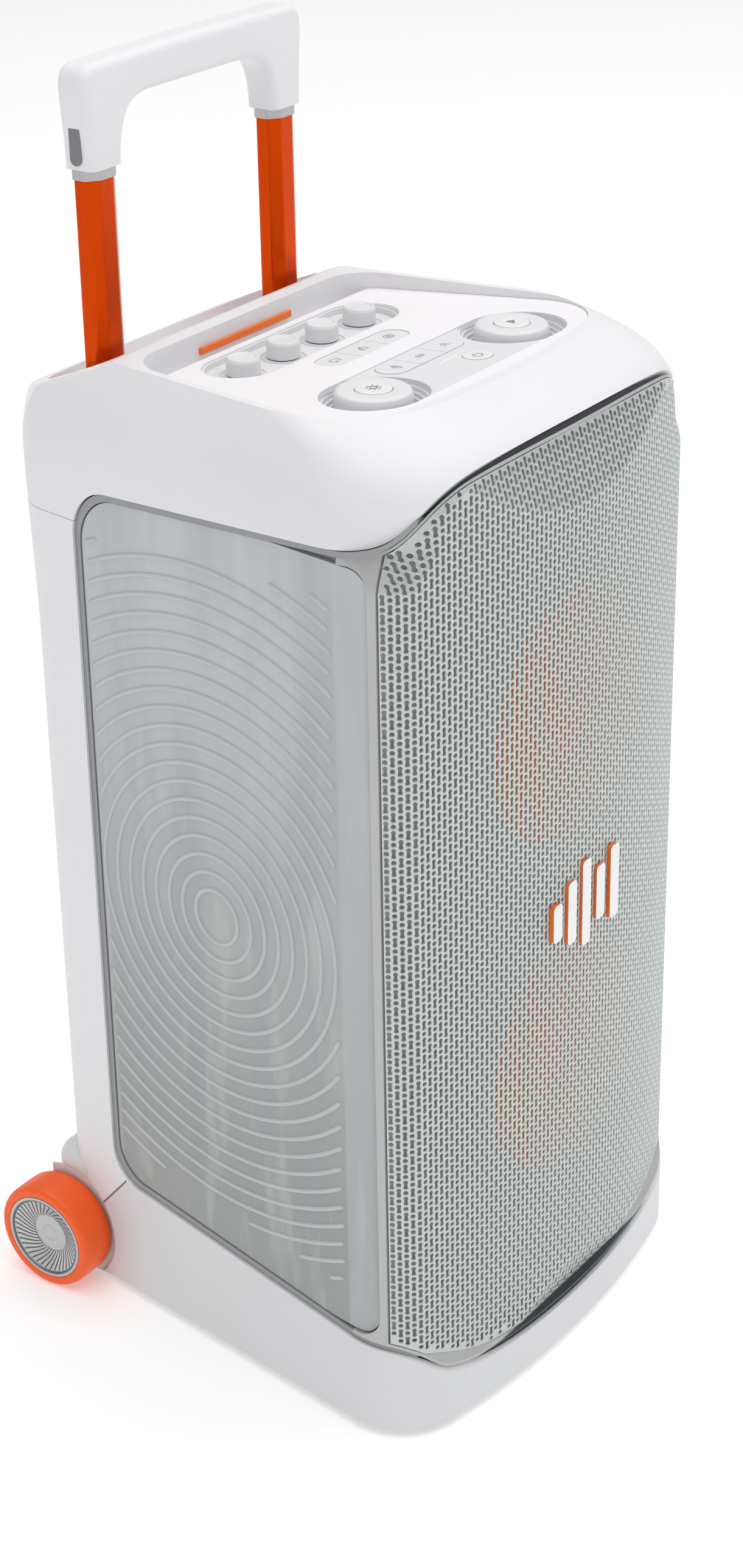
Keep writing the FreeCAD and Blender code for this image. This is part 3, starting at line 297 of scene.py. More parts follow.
def circuit_paint(name):
    """Green solder mask with copper tracks and pads."""
    paint = Paint(name, (0.02, 0.13, 0.06), 0.35)
    tracks = paint.node("ShaderNodeTexVoronoi", Scale=220.0)
    tracks.feature = "DISTANCE_TO_EDGE"
    paint.link(paint.place, tracks.inputs["Vector"])
    paint.tint(paint.ramp(tracks.outputs["Distance"], 0.07, 0.03), (0.08, 0.32, 0.14), 0.9)
    paint.bump(paint.ramp(tracks.outputs["Distance"], 0.03, 0.07), 0.00004)
    return paint.material


def woven_cone(name, color):
    """Woven loudspeaker cone under a clear coat."""
    paint = Paint(name, color, 0.45, Coat_Weight=0.3)
    for turn in (0.785, -0.785):
        mapping = paint.node("ShaderNodeMapping")
        mapping.inputs["Rotation"].default_value = (0, turn, 0)
        paint.link(paint.place, mapping.inputs["Vector"])
        wave = paint.node("ShaderNodeTexWave", Scale=190.0, Distortion=0.3)
        paint.link(mapping.outputs["Vector"], wave.inputs["Vector"])
        paint.tint(wave.outputs["Fac"], tuple(c * 0.7 for c in color), 0.35)
        paint.bump(wave.outputs["Fac"], 0.0001, 0.5)
    return paint.material


WHITE = (0.83, 0.83, 0.85)
# painted shade: the base wears a darker copy of the shell's white
SHADED_BASE_WHITE = (0.73, 0.735, 0.75)
FRAME_GREY = (0.50, 0.50, 0.51)
CHARCOAL = (0.035, 0.042, 0.05)
ORANGE = (0.93, 0.19, 0.02)
WOOFER_HEIGHTS = (0.220, 0.457)
DISC_EDGE = (0.083, 0.079)    # the discs' soft edge, from the outside inwards
WELL_GLOW_BOX = (("X", -0.1184, 0.1184, 0.0004),    # the handle well, where a painted glow lies: axis, from, to and soft edge
            ("Y", 0.0858, 0.1484, 0.0004),
            ("Z", 0.595, 0.672, 0.001))
SEAM_NORMAL = (0, 0.7526, 0.6585)
SEAM_OFFSET = 0.12964         # the seam's distance from the origin along its normal
SEAM_EDGE = (0.0009, 0.0005)  # half the seam's width, from the outside inwards
SEAM_REACH = (0.0900, 0.1180)    # the seam runs between these y
LIP_HEIGHT = (0.0430, 0.0424)    # the frame is charcoal below this z
LIP_FRONT = (-0.1600, -0.1640)   # and in front of this y
BADGE_FACE = (-0.18685, -0.18665)    # the badge is orange behind this y
PANEL_FRONT = (-0.1150, -0.1170)     # the panels' paler borders, a painted highlight, start here
PANEL_REAR = (0.0920, 0.0940)


def cloth_paint():
    """Fine woven cloth, light grey with an orange disc over each woofer; the discs also carry a faint
    painted glow.
    """
    paint = Paint("cloth", (0.50, 0.53, 0.525), 0.85)
    flat = paint.vector("MULTIPLY", paint.place, (1, 0, 1))
    discs = []
    for height in WOOFER_HEIGHTS:
        disc = paint.ramp(paint.vector("DISTANCE", flat, (0, 0, height), "Value"), *DISC_EDGE)
        paint.tint(disc, (0.78, 0.16, 0.01))
        discs.append(disc)
    # painted light: the orange discs glow faintly, though nothing behind the cloth gives light
    paint.glow(paint.math("MAXIMUM", *discs), (0.85, 0.27, 0.03), 1 / 8)
    paint.rough(paint.noise(1500, 2), 0.75, 0.95)
    paint.bump(paint.noise(2200, 2), 0.00008, 0.8)
    return paint.material


def cap_paint():
    """The white shell plastic, with a painted glow in the handle well that stands in for light
    scattered between its walls.
    """
    paint = grained_paint("cap_paint", WHITE)
    across, along, deep = [paint.within(*side) for side in WELL_GLOW_BOX]
    well = paint.math("MULTIPLY", paint.math("MULTIPLY", across, along), deep)
    # painted light: the well's walls glow faintly in place of the light scattered between them
    paint.glow(well, (0.86, 0.87, 0.92), 1 / 9)
    return paint.material


def seamed_paint(name, color):
    """Shell plastic with the shadow of the slanting seam between the base and the rear shell."""
    paint = grained_paint(name, color)
    along_normal = paint.vector("DOT_PRODUCT", paint.place, SEAM_NORMAL, "Value")
    distance = paint.math("ABSOLUTE", paint.math("SUBTRACT", along_normal, SEAM_OFFSET))
    line = paint.math("MULTIPLY", paint.ramp(distance, *SEAM_EDGE), paint.within("Y", *SEAM_REACH))
    paint.tint(line, (0.10, 0.10, 0.11), 0.85)
    return paint.material


def frame_paint():
    """Satin grey metal; the turned-in edge over the base's front lip is charcoal."""
    paint = Paint("frame_paint", FRAME_GREY, 0.38, 0.35)
    paint.tint(paint.ramp(paint.noise(240, 3), 0.3, 0.7), (0.47, 0.47, 0.48), 0.5)
    edge = paint.math("MULTIPLY", paint.past("Z", *LIP_HEIGHT), paint.past("Y", *LIP_FRONT))
    paint.tint(edge, CHARCOAL)
    paint.rough(paint.noise(600, 3), 0.32, 0.46)
    paint.bump(paint.noise(2400, 2), 0.00001, 0.4)
    return paint.material


def badge_paint():
    """Satin white faces with orange flanks."""
    paint = Paint("badge_paint", (0.88, 0.88, 0.89), 0.3, 0.1)
    paint.tint(paint.ramp(paint.noise(300, 3), 0.3, 0.7), (0.82, 0.82, 0.83), 0.4)
    paint.tint(paint.past("Y", *BADGE_FACE), ORANGE)
    paint.rough(paint.noise(400, 3), 0.22, 0.36)
    paint.bump(paint.noise(2600, 2), 0.00001, 0.4)
    return paint.material


def frosted_paint():
    """Frosted light panel: soft upright shapes behind the surface, painted shade towards the bottom and
    a painted highlight on the border.
    """
    paint = Paint("frosted_paint", (0.54, 0.56, 0.575), 0.36, Coat_Weight=0.15)
    # painted shade: the panel is darker towards the bottom and lighter towards the top
    paint.tint(paint.past("Z", 0.54, 0.16), (0.31, 0.32, 0.31), 0.9)
    columns = paint.noise(26, 3, (1, 1, 0.12))
    paint.tint(paint.ramp(columns, 0.4, 0.62), (0.30, 0.325, 0.34), 0.4)
    paint.tint(paint.ramp(paint.noise(60, 2, (1, 1, 0.2)), 0.55, 0.7), (0.56, 0.57, 0.57), 0.4)
    # painted highlight: the border is paler, standing in for light at the panel's rim
    border = paint.math("MAXIMUM", paint.past("Y", *PANEL_FRONT), paint.past("Y", *PANEL_REAR))
    paint.tint(border, (0.50, 0.53, 0.54), 0.45)
    paint.rough(paint.noise(500, 3), 0.28, 0.46)
    paint.bump(paint.noise(1800, 2), 0.00003, 0.7)
    return paint.material


MATERIALS = {
    "white_shell": grained_plastic("white_shell", WHITE),
    "control_grey": smooth_plastic("control_grey", (0.76, 0.765, 0.78), 0.38),
    "key_white": smooth_plastic("key_white", (0.82, 0.82, 0.83), 0.3),
    "charcoal_trim": smooth_plastic("charcoal_trim", CHARCOAL, 0.35),
    "grille_metal": painted_sheet("grille_metal", (0.55, 0.585, 0.57), 0.34, 0.55),
    "orange_tube": brushed_metal("orange_tube", (0.66, 0.062, 0.003), 0.27),
    "silver_trim": brushed_metal("silver_trim", (0.50, 0.50, 0.51), 0.28, (1, 0.03, 1)),
    "orange_plastic": smooth_plastic("orange_plastic", ORANGE, 0.35),
    "orange_tyre": rubbery("orange_tyre", (1.0, 0.115, 0.004), 0.42),
    "hub_silver": painted_sheet("hub_silver", (0.52, 0.525, 0.53), 0.3, 0.75),
    "orange_cone": woven_cone("orange_cone", (1.0, 0.27, 0.03)),
    "black_rubber": rubbery("black_rubber", (0.035, 0.035, 0.037), 0.65),
    "black_plastic": grained_plastic("black_plastic", (0.045, 0.046, 0.05), 0.5),
    "steel": brushed_metal("steel", (0.55, 0.55, 0.57), 0.35),
    "circuit_board": circuit_paint("circuit_board"),
    "cloth": cloth_paint(),
    "baffle_grey": grained_plastic("baffle_grey", (0.62, 0.64, 0.64), 0.6),
    "badge_paint": badge_paint(),
    "frosted_paint": frosted_paint(),
    "rib_pale": smooth_plastic("rib_pale", (0.52, 0.545, 0.555), 0.3),
    "trim_grey": smooth_plastic("trim_grey", (0.33, 0.335, 0.345), 0.4),
    "print_grey": smooth_plastic("print_grey", (0.36, 0.365, 0.375), 0.45),
    "print_white": smooth_plastic("print_white", (0.92, 0.92, 0.93), 0.35),
    # the base's white is the darker copy, painted shade
    "base_white": grained_plastic("base_white", SHADED_BASE_WHITE),
    "base_seamed": seamed_paint("base_seamed", SHADED_BASE_WHITE),
    "shell_seamed": seamed_paint("shell_seamed", WHITE),
    "cap_paint": cap_paint(),
    "frame_paint": frame_paint(),
    "inlay_grey": smooth_plastic("inlay_grey", (0.20, 0.205, 0.215), 0.45),
    "deck_white": grained_plastic("deck_white", (0.91, 0.89, 0.915), 0.4),
    "hub_shadow": painted_sheet("hub_shadow", (0.20, 0.205, 0.21), 0.4, 0.4),
}

# CAD nodes that wear another paint than their slot's own
REPAINTED = {
    "front_baffle": "baffle_grey", "woofer_cones": "orange_cone", "woofer_surrounds": "orange_cone",
    "woofer_trims": "orange_cone", "badge": "badge_paint", "wheel_arch_liners": "base_white",
    "base_shell": "base_seamed", "rear_shell": "shell_seamed", "top_cap": "cap_paint",
    "front_frame": "frame_paint", "grip_inlays": "inlay_grey", "control_deck": "deck_white",
    "side_panel_left": "frosted_paint", "side_panel_right": "frosted_paint",
    "side_trims": "trim_grey", "wheel_hub_left": "hub_shadow", "wheel_hub_right": "hub_shadow",
}

RECORD_SLOT = {part["node"]: part["material_slot"] for part in frame["record"]["subparts"]}
BODIES = frame["record"]["behaviour"]["bodies"]
BODY_OF = {part: body for body, parts in BODIES.items() for part in parts}

for node_name, node in NODES.items():
    for slot in node.material_slots:
        slot.material = MATERIALS[REPAINTED.get(node_name, RECORD_SLOT[node_name])]


# ---- mesh helpers ------------------------------------------------------------------
def new_piece(name, verts, faces, material, body, smooth=True):
    """A new mesh piece in the row frame that rides on a body."""
    mesh = bpy.data.meshes.new(name)
    mesh.from_pydata([tuple(v) for v in verts], [], [tuple(f) for f in faces])
    mesh.validate()
    piece = bpy.data.objects.new(name, mesh)
    bpy.context.scene.collection.objects.link(piece)
    mesh.materials.append(MATERIALS[material])
    if smooth:
        mesh.shade_smooth()
    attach(piece, body)
    return piece


def round_edges(obj, width, angle):
    """Rounds sharp edges with a bevel modifier."""
    bevel = obj.modifiers.new("bevel", "BEVEL")
    bevel.width = width
    bevel.segments = 2
    bevel.limit_method = "ANGLE"
    bevel.angle_limit = math.radians(angle)


def node_tree_of(name):
    """A CAD node's faces as a tree for ray casts."""
    mesh = NODES[name].data
    return BVHTree.FromPolygons([v.co for v in mesh.vertices], [p.vertices for p in mesh.polygons])


# ---- the perforated grille -----------------------------------------------------------
COLUMN_PITCH = 4.35 * MM
ROW_PITCH = 5.9 * MM
SHEET = 1.2 * MM
UNIT = ROW_PITCH / 4
PERIOD = 8 * UNIT             # one column's pattern repeats after this
BANDS = 4
HOLE_MARGIN = (1.15, 1.1)     # a hole is punched if it would fit on the sheet this much larger
HOLE_GROWTH = (0.22, 0.0, -0.02)          # millimetres round the hole, at each of these depths
HOLE_DEPTHS = (0.0, 0.3 * MM, SHEET)


class Relief:
    """The front surface of the CAD grille as a height map: y over x and z."""

    STEP = 1.0 * MM
    MIDDLE = 0.33                 # a height where every column has sheet
    ABOVE, BELOW = 0.70, 0.0      # heights with no sheet
    HALVINGS = 14
    FRONT, REACH = -0.4, 0.4      # rays start in front of the sheet and end past it

    def __init__(self, name):
        self.tree = node_tree_of(name)
        low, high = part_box(name)
        self.half = max(-low.x, high.x)
        self.xs = np.arange(-self.half + 0.2 * MM, self.half, self.STEP)
        self.zs = np.arange(low.z - 2 * self.STEP, high.z + 3 * self.STEP, self.STEP)
        self.y = np.full((len(self.xs), len(self.zs)), np.nan)
        for i, x in enumerate(self.xs):
            for j, z in enumerate(self.zs):
                hit = self.cast(x, z)
                if hit is not None:
                    self.y[i, j] = hit
        self.top = np.array([self.limit(x, 1) for x in self.xs])
        self.bottom = np.array([self.limit(x, -1) for x in self.xs])
        self.fill()

    def cast(self, x, z):
        """The sheet's front y at one point, None beside the sheet."""
        hit = self.tree.ray_cast(Vector((x, self.FRONT, z)), Vector((0, 1, 0)), self.REACH)
        return None if hit[0] is None else hit[0].y

    def limit(self, x, way):
        """The last height with sheet in one direction, by halving."""
        inside = self.MIDDLE
        outside = self.ABOVE if way > 0 else self.BELOW
        for _ in range(self.HALVINGS):
            mid = (inside + outside) / 2
            if self.cast(x, mid) is None:
                outside = mid
            else:
                inside = mid
        return inside

    def fill(self):
        """Extends each column past its ends at the end's own height."""
        for row in self.y:
            known = np.flatnonzero(~np.isnan(row))
            row[:known[0]] = row[known[0]]
            row[known[-1]:] = row[known[-1]]

    def at(self, x, z):
        """The front y between the measured points."""
        i = np.clip((x - self.xs[0]) / self.STEP, 0, len(self.xs) - 1.001)
        j = np.clip((z - self.zs[0]) / self.STEP, 0, len(self.zs) - 1.001)
        i0, j0 = i.astype(int), j.astype(int)
        u, v = i - i0, j - j0
        y = self.y
        return ((1 - u) * (1 - v) * y[i0, j0] + u * (1 - v) * y[i0 + 1, j0]
                + (1 - u) * v * y[i0, j0 + 1] + u * v * y[i0 + 1, j0 + 1])

    def inwards(self, x, z):
        """The unit normal that points into the cabinet."""
        d = 1.5 * MM
        gx = (self.at(x + d, z) - self.at(x - d, z)) / (2 * d)
        gz = (self.at(x, z + d) - self.at(x, z - d)) / (2 * d)
        n = np.stack([-gx, np.ones_like(gx), -gz], axis=-1)
        return n / np.linalg.norm(n, axis=-1, keepdims=True)


def cell_rings(kind):
    """Outline and hole edge of one cell, in millimetres across and units up."""
    half = COLUMN_PITCH / MM / 2
    if kind == "bone":
        sides = [-2.5, -1.5, -0.5, 0.5, 1.5, 2.5]
        hole = [(0.98, 1.96), (1.46, 1.28), (0.90, 0.42)]
        cap = 2.24
    else:
        sides = [-1.5, -0.5, 0.5, 1.5]
        hole = [(0.92, 0.76), (1.44, 0.34)]
        cap = 1.0
    right = [(half, s) for s in sides]
    outline = [(0.0, sides[0])] + right + [(0.0, sides[-1])] + [(-x, z) for x, z in right[::-1]]
    right_hole = [(x, -z) for x, z in hole] + hole[::-1]
    edge = [(0.0, -cap)] + right_hole + [(0.0, cap)] + [(-x, z) for x, z in right_hole[::-1]]
    return np.array(outline), np.array(edge)


def grille_columns(relief):
    """The x of every point along the sheet's width, measured on the sheet."""
    xs = relief.xs
    ys = relief.at(xs, np.full_like(xs, Relief.MIDDLE))
    length = np.concatenate([[0], np.cumsum(np.hypot(np.diff(xs), np.diff(ys)))])
    return xs, length - length[-1] / 2


def grille_band(relief, name, periods):
    """One horizontal band of the sheet with its holes: flat first, then laid on the relief."""
    xs, along = grille_columns(relief)
    columns = int(along[-1] * 2 / COLUMN_PITCH) + 2
    index = {}
    verts, faces = [], []

    def whole(s, z):
        """Whether a cell's hole lies on the sheet."""
        if s.min() < along[0] or s.max() > along[-1]:
            return False
        x = np.interp(s, along, xs)
        above = z > np.interp(x, xs, relief.bottom)
        below = z < np.interp(x, xs, relief.top)
        return above.all() and below.all()

    def vertex(s, z, depth, shared):
        """A vertex of the flat sheet; cells share those on their outlines."""
        key = (round(s / MM, 3), round(z / MM, 3))
        if shared and key in index:
            return index[key]
        verts.append((s, z, depth))
        if shared:
            index[key] = len(verts) - 1
        return len(verts) - 1

    for column in range(columns):
        centre = (column - (columns - 1) / 2) * COLUMN_PITCH
        shift = 4 * UNIT if column % 2 else 0.0
        for period in periods:
            for kind, lift in (("bone", 0.0), ("dot", 4.0)):
                outline, edge = cell_rings(kind)
                z0 = period * PERIOD + shift + lift * UNIT
                rings = [[vertex(centre + x * MM, z0 + u * UNIT, 0.0, True) for x, u in outline]]
                wide, tall = edge[:, 0] * HOLE_MARGIN[0] * MM, edge[:, 1] * HOLE_MARGIN[1] * UNIT
                if not whole(centre + wide, z0 + tall):
                    half = len(outline) // 2
                    ring = rings[0]
                    faces += [(ring[k], ring[k + 1], ring[-k - 1], ring[-k])
                              for k in range(1, half)]
                    faces += [(ring[0], ring[1], ring[-1], ring[-1])]
                    continue
                reach = np.hypot(edge[:, 0], edge[:, 1] * UNIT / MM)[:, None]
                for grow, depth in zip(HOLE_GROWTH, HOLE_DEPTHS):
                    ring = edge * (1 + grow / reach)
                    rings.append([vertex(centre + x * MM, z0 + u * UNIT, depth, False)
                                  for x, u in ring])
                for a, b in zip(rings, rings[1:]):
                    for k in range(len(a)):
                        n = (k + 1) % len(a)
                        faces.append((a[k], a[n], b[n], b[k]))
    flat = np.array(verts)
    faces = np.array(faces)
    s = np.clip(flat[:, 0], along[0], along[-1])
    x = np.interp(s, along, xs)
    z = np.clip(flat[:, 1], np.interp(x, xs, relief.bottom), np.interp(x, xs, relief.top))
    cut = (np.abs(z - flat[:, 1]) > 1e-7) | (np.abs(s - flat[:, 0]) > 1e-7)
    keep = ~cut[faces].all(axis=1)
    place = np.stack([x, relief.at(x, z), z], axis=-1) + relief.inwards(x, z) * flat[:, 2:3]
    faces = faces[keep]
    used, packed = np.unique(faces, return_inverse=True)
    return new_piece(name, place[used], packed.reshape(faces.shape), "grille_metal", "cabinet")


CLOTH_BACK = 3.4 * MM         # behind the sheet
CLOTH_FACE = -171.6 * MM      # the flat stretch over the loudspeakers
CLOTH_GRID = (91, 101)        # points across and up


def make_cloth(relief):
    """The acoustic cloth: flat over the baffle and bent back with the sheet at both sides."""
    xs, along = grille_columns(relief)
    x = np.interp(np.linspace(along[0] + MM, along[-1] - MM, CLOTH_GRID[0]), along, xs)
    share = np.linspace(0, 1, CLOTH_GRID[1])
    low, high = np.interp(x, xs, relief.bottom) + MM, np.interp(x, xs, relief.top) - MM
    z = low[:, None] + (high - low)[:, None] * share
    x = np.repeat(x[:, None], len(share), axis=1)
    place = np.stack([x, relief.at(x, z), z], axis=-1) + relief.inwards(x, z) * CLOTH_BACK
    place[..., 1] = np.maximum(place[..., 1], CLOTH_FACE)
    rows, columns = x.shape
    faces = [(i * columns + j, (i + 1) * columns + j,
              (i + 1) * columns + j + 1, i * columns + j + 1)
             for i in range(rows - 1) for j in range(columns - 1)]
    new_piece("grille_cloth", place.reshape(-1, 3), faces, "cloth", "cabinet")


def make_grille():
    """The sheet in four bands, with the cloth behind it."""
    relief = Relief("grille")
    low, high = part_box("grille")
    first = int(low.z / PERIOD) - 1
    last = int(high.z / PERIOD) + 2
    step = math.ceil((last - first) / BANDS)
    for band in range(BANDS):
        start = first + band * step
        periods = range(start, min(start + step, last))
        piece = grille_band(relief, f"grille_sheet_{band + 1}", periods)
        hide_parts("grille")
    make_cloth(relief)


make_grille()


# ---- trims round the side panels ----------------------------------------------------
TUCK_FROM_Y, TUCK_LENGTH = -0.134, 0.026     # the tuck grows forwards of this y
TUCK_FROM_Z, TUCK_HEIGHT = 0.595, 0.018      # and upwards of this z
TUCK_DEPTH = 0.008


def tuck_trims():
    """The trims round the side panels, their front ends drawn in under the cap's rounder corner."""
    trims = NODES["side_trims"].data
    verts = []
    for vertex in trims.vertices:
        x, y, z = vertex.co
        along = max((TUCK_FROM_Y - y) / TUCK_LENGTH, 0.0)
        height = min(max((z - TUCK_FROM_Z) / TUCK_HEIGHT, 0.0), 1.0)
        verts.append((x - math.copysign(TUCK_DEPTH * along ** 2 * height, x), y, z))
    faces = [tuple(polygon.vertices) for polygon in trims.polygons]
    tucked = new_piece("panel_trims", verts, faces, "trim_grey", "cabinet", smooth=False)
    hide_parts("side_trims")


tuck_trims()


# ---- raised rings on the side panels ---------------------------------------------------
RING_CENTRE = (-9.0, 334.5)      # y and z
RING_PITCH = 11.96
RING_FIRST = 18.4
RING_COUNT = 25
RIB_WIDTH = 3.4
RIB_HEIGHT = 1.1
RIB_FIELD = (-114.0, 94.0)        # the ribs end at these y
FIELD_TOP = (578.0, -0.075, -113.0)      # height of the field's edge, its slope, and the y it
FIELD_BOTTOM = (102.0, 0.10, -136.0)     # has that height at
RIB_STEP = 2.4
RIB_END = 1.9                     # length of a rib's tapered end
RIB_PROFILE = ((-1.0, -0.35), (-0.86, 0.35), (-0.45, 0.92), (0.0, 1.0),
               (0.45, 0.92), (0.86, 0.35), (1.0, -0.35))


def rib_field(y, z):
    """Whether a rib may run here: inside a margin that follows the panel's outline."""
    bottom, top = [height + slope * (y - at) for height, slope, at in (FIELD_BOTTOM, FIELD_TOP)]
    return RIB_FIELD[0] < y < RIB_FIELD[1] and bottom < z < top


def rib_runs(radius):
    """The parts of one ring that lie inside the field, as lists of angles."""
    count = max(int(2 * math.pi * radius / RIB_STEP), 24)
    angles = [2 * math.pi * k / count for k in range(count)]
    y0, z0 = RING_CENTRE
    inside = [rib_field(y0 + radius * math.cos(a), z0 + radius * math.sin(a)) for a in angles]
    if all(inside):
        return [angles + [2 * math.pi]]
    start = inside.index(False)
    runs, run = [], []
    for k in range(start, start + count + 1):
        if inside[k % count]:
            run.append(2 * math.pi * k / count)
        elif run:
            runs.append(run)
            run = []
    return [run for run in runs if len(run) > 3]


def make_ribs(side_name, side):
    """The raised rings on one side panel, laid on its skin."""
    tree = node_tree_of("side_panel_" + side_name)

    def skin_x(y, z):
        """The panel's outer x at a point in millimetres."""
        hit = tree.ray_cast(Vector((side * 0.4, y * MM, z * MM)), Vector((-side, 0, 0)), 0.5)
        return None if hit[0] is None else hit[0].x

    verts, faces = [], []
    for number in range(RING_COUNT):
        radius = RING_FIRST + number * RING_PITCH
        for run in rib_runs(radius):
            closed = run[-1] - run[0] > 2 * math.pi - 1e-6
            last = len(run) - 1
            first_vertex = len(verts)
            for k, angle in enumerate(run):
                taper = math.sqrt(min(k, last - k) * RIB_STEP / RIB_END + 0.04)
                ends = 1.0 if closed else min(1.0, taper)
                for across, up in RIB_PROFILE:
                    r = radius + across * ends * RIB_WIDTH / 2
                    y = RING_CENTRE[0] + r * math.cos(angle)
                    z = RING_CENTRE[1] + r * math.sin(angle)
                    x = skin_x(y, z)
                    if x is None:
                        x = verts[-1][0]
                    verts.append((x + side * up * ends * RIB_HEIGHT * MM, y * MM, z * MM))
            n = len(RIB_PROFILE)
            for k in range(last):
                for j in range(n - 1):
                    a = first_vertex + k * n + j
                    face = (a, a + 1, a + n + 1, a + n)
                    faces.append(face if side < 0 else (face[0], face[3], face[2], face[1]))
            if not closed:
                for k in (0, last):
                    faces.append([first_vertex + k * n + j for j in range(n)])
    new_piece("panel_rings_" + side_name, verts, faces, "rib_pale", "cabinet")


make_ribs("left", -1)
make_ribs("right", 1)


# ---- turned pieces ------------------------------------------------------------------------
def soften(points, reach):
    """An outline with its corners rounded, ends kept."""
    points = [Vector(p) for p in points]
    out = [points[0]]
    for before, corner, after in zip(points, points[1:], points[2:]):
        a, b = before - corner, after - corner
        ra, rb = min(reach, a.length * 0.45), min(reach, b.length * 0.45)
        p, q = corner + a.normalized() * ra, corner + b.normalized() * rb
        for t in (0.0, 0.25, 0.5, 0.75, 1.0):
            out.append(p * (1 - t) ** 2 + corner * 2 * t * (1 - t) + q * t * t)
    return out + [points[-1]]


def lathe(name, points, at, axis, material, body, reach, segments, flutes=None):
    """Turns an (r, h) outline in millimetres about an axis; flutes = (depth, from h, to h)."""
    outline = soften(points, reach)
    axis = Vector(axis)
    side = Vector((0, 0, 1)) if abs(axis.z) < 0.5 else Vector((1, 0, 0))
    third = axis.cross(side)
    verts, faces = [], []
    for k in range(segments):
        angle = 2 * math.pi * k / segments
        ray = side * math.cos(angle) + third * math.sin(angle)
        for r, h in outline:
            if flutes and flutes[1] < h < flutes[2] and k % 2:
                r -= flutes[0]
            verts.append(Vector(at) + (ray * r + axis * h) * MM)
    n = len(outline)
    for k in range(segments):
        m = (k + 1) % segments
        for j in range(n - 1):
            faces.append((k * n + j, m * n + j, m * n + j + 1, k * n + j + 1))
    return new_piece(name, verts, faces, material, body)


def middle(node):
    """The centre of a node's box."""
    low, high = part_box(node)
    return (low + high) / 2


KNOB_FOOT = 655.8
BIG_KNOB = [(0.02, 661.8), (11.4, 661.8), (11.4, 671.2), (20.3, 671.2), (22.4, 670.3), (23.5, 667.4),
            (23.5, KNOB_FOOT), (20.5, KNOB_FOOT), (20.5, 658.8), (3.0, 658.8), (3.0, 644.5),
            (0.02, 644.5)]
PUSH_CAP = [(0.02, 664.2), (11.0, 664.2), (11.0, 671.5), (9.2, 671.8), (0.02, 671.6)]
SMALL_KNOB = [(0.02, 667.5), (7.4, 667.5), (8.4, 668.4), (9.5, 668.3), (10.5, 666.4), (10.5, 657.7),
              (8.6, 657.7), (8.6, 663.7), (3.0, 663.7), (3.0, 644.5), (0.02, 644.5)]


def turned_knob(node, outline, material, reach, segments=96, flutes=None):
    """A turned piece in place of a CAD knob or cap."""
    centre = middle(node)
    at = (centre.x, centre.y, 0)
    piece = lathe("turned_" + node, outline, at, (0, 0, 1), material, BODY_OF[node],
                  reach, segments, flutes)
    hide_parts(node)


for node in ("light_knob", "volume_knob"):
    turned_knob(node, BIG_KNOB, "control_grey", 1.1, 128)
for node in ("light_knob_cap", "play_knob_cap"):
    turned_knob(node, PUSH_CAP, "key_white", 0.7)
SMALL_KNOBS = ("mic_level_knob", "bass_knob", "treble_knob", "echo_knob")
for node in SMALL_KNOBS:
    turned_knob(node, SMALL_KNOB, "control_grey", 0.5, 96, (0.22, 659.0, 665.8))


# ---- wheels ------------------------------------------------------------------------------------
TYRE = [(30.9, 0.9), (31.6, 0.2), (33.0, 0.0), (35.5, 0.1), (37.4, 1.2), (38.3, 3.6),
        (38.5, 8.0), (38.5, 21.0), (38.3, 25.4), (37.2, 28.0), (35.0, 29.0), (31.0, 29.0)]
RIM = [(31.0, 1.2), (30.9, 0.4), (30.2, 0.1), (29.2, 0.2), (28.5, 0.8), (27.0, 2.3)]
HUB_CENTRE = [(15.6, 7.1), (15.2, 6.8), (14.6, 7.3), (6.2, 7.4), (6.0, 7.15), (5.8, 7.4), (0.02, 7.5)]
WHEEL_FACE = 158.0            # x of the wheels' outer faces
VANES = 40
VANE_SWEEP = 0.4
VANE_STEPS = 9
VANE_RADII = (14.0, 27.4)     # from the hub's centre piece to the rim
VANE_DEPTHS = (7.5, 2.3)      # behind the wheel's outer face at those radii
VANE_WIDTHS = (0.37, 0.40)    # half a vane's width, as a share of the pitch
VANE_CURVE = 1.4
VANE_PROFILE = ((-1.0, -0.5), (-0.86, 0.9), (0.86, 0.9), (1.0, -0.5))


def make_vanes(name, at, side, body):
    """Swirled vanes across the hub's dish."""
    verts, faces = [], []
    for number in range(VANES):
        start = len(verts)
        for k in range(VANE_STEPS):
            t = k / (VANE_STEPS - 1)
            r, depth, share = [a + t * (b - a) for a, b in (VANE_RADII, VANE_DEPTHS, VANE_WIDTHS)]
            angle = 2 * math.pi * number / VANES + VANE_SWEEP * (1 - t) ** VANE_CURVE
            half = share * 2 * math.pi / VANES
            for across, lift in VANE_PROFILE:
                a = angle + across * half
                offset = Vector((-side * (depth - lift), r * math.sin(a), r * math.cos(a)))
                verts.append(Vector(at) + offset * MM)
        for k in range(VANE_STEPS - 1):
            for j in range(4):
                a, b = start + k * 4 + j, start + k * 4 + (j + 1) % 4
                faces.append((a, b, b + 4, a + 4))
        faces.append([start + j for j in range(4)])
        faces.append([start + (VANE_STEPS - 1) * 4 + j for j in range(4)])
    new_piece(name, verts, faces, "hub_silver", body, smooth=False)


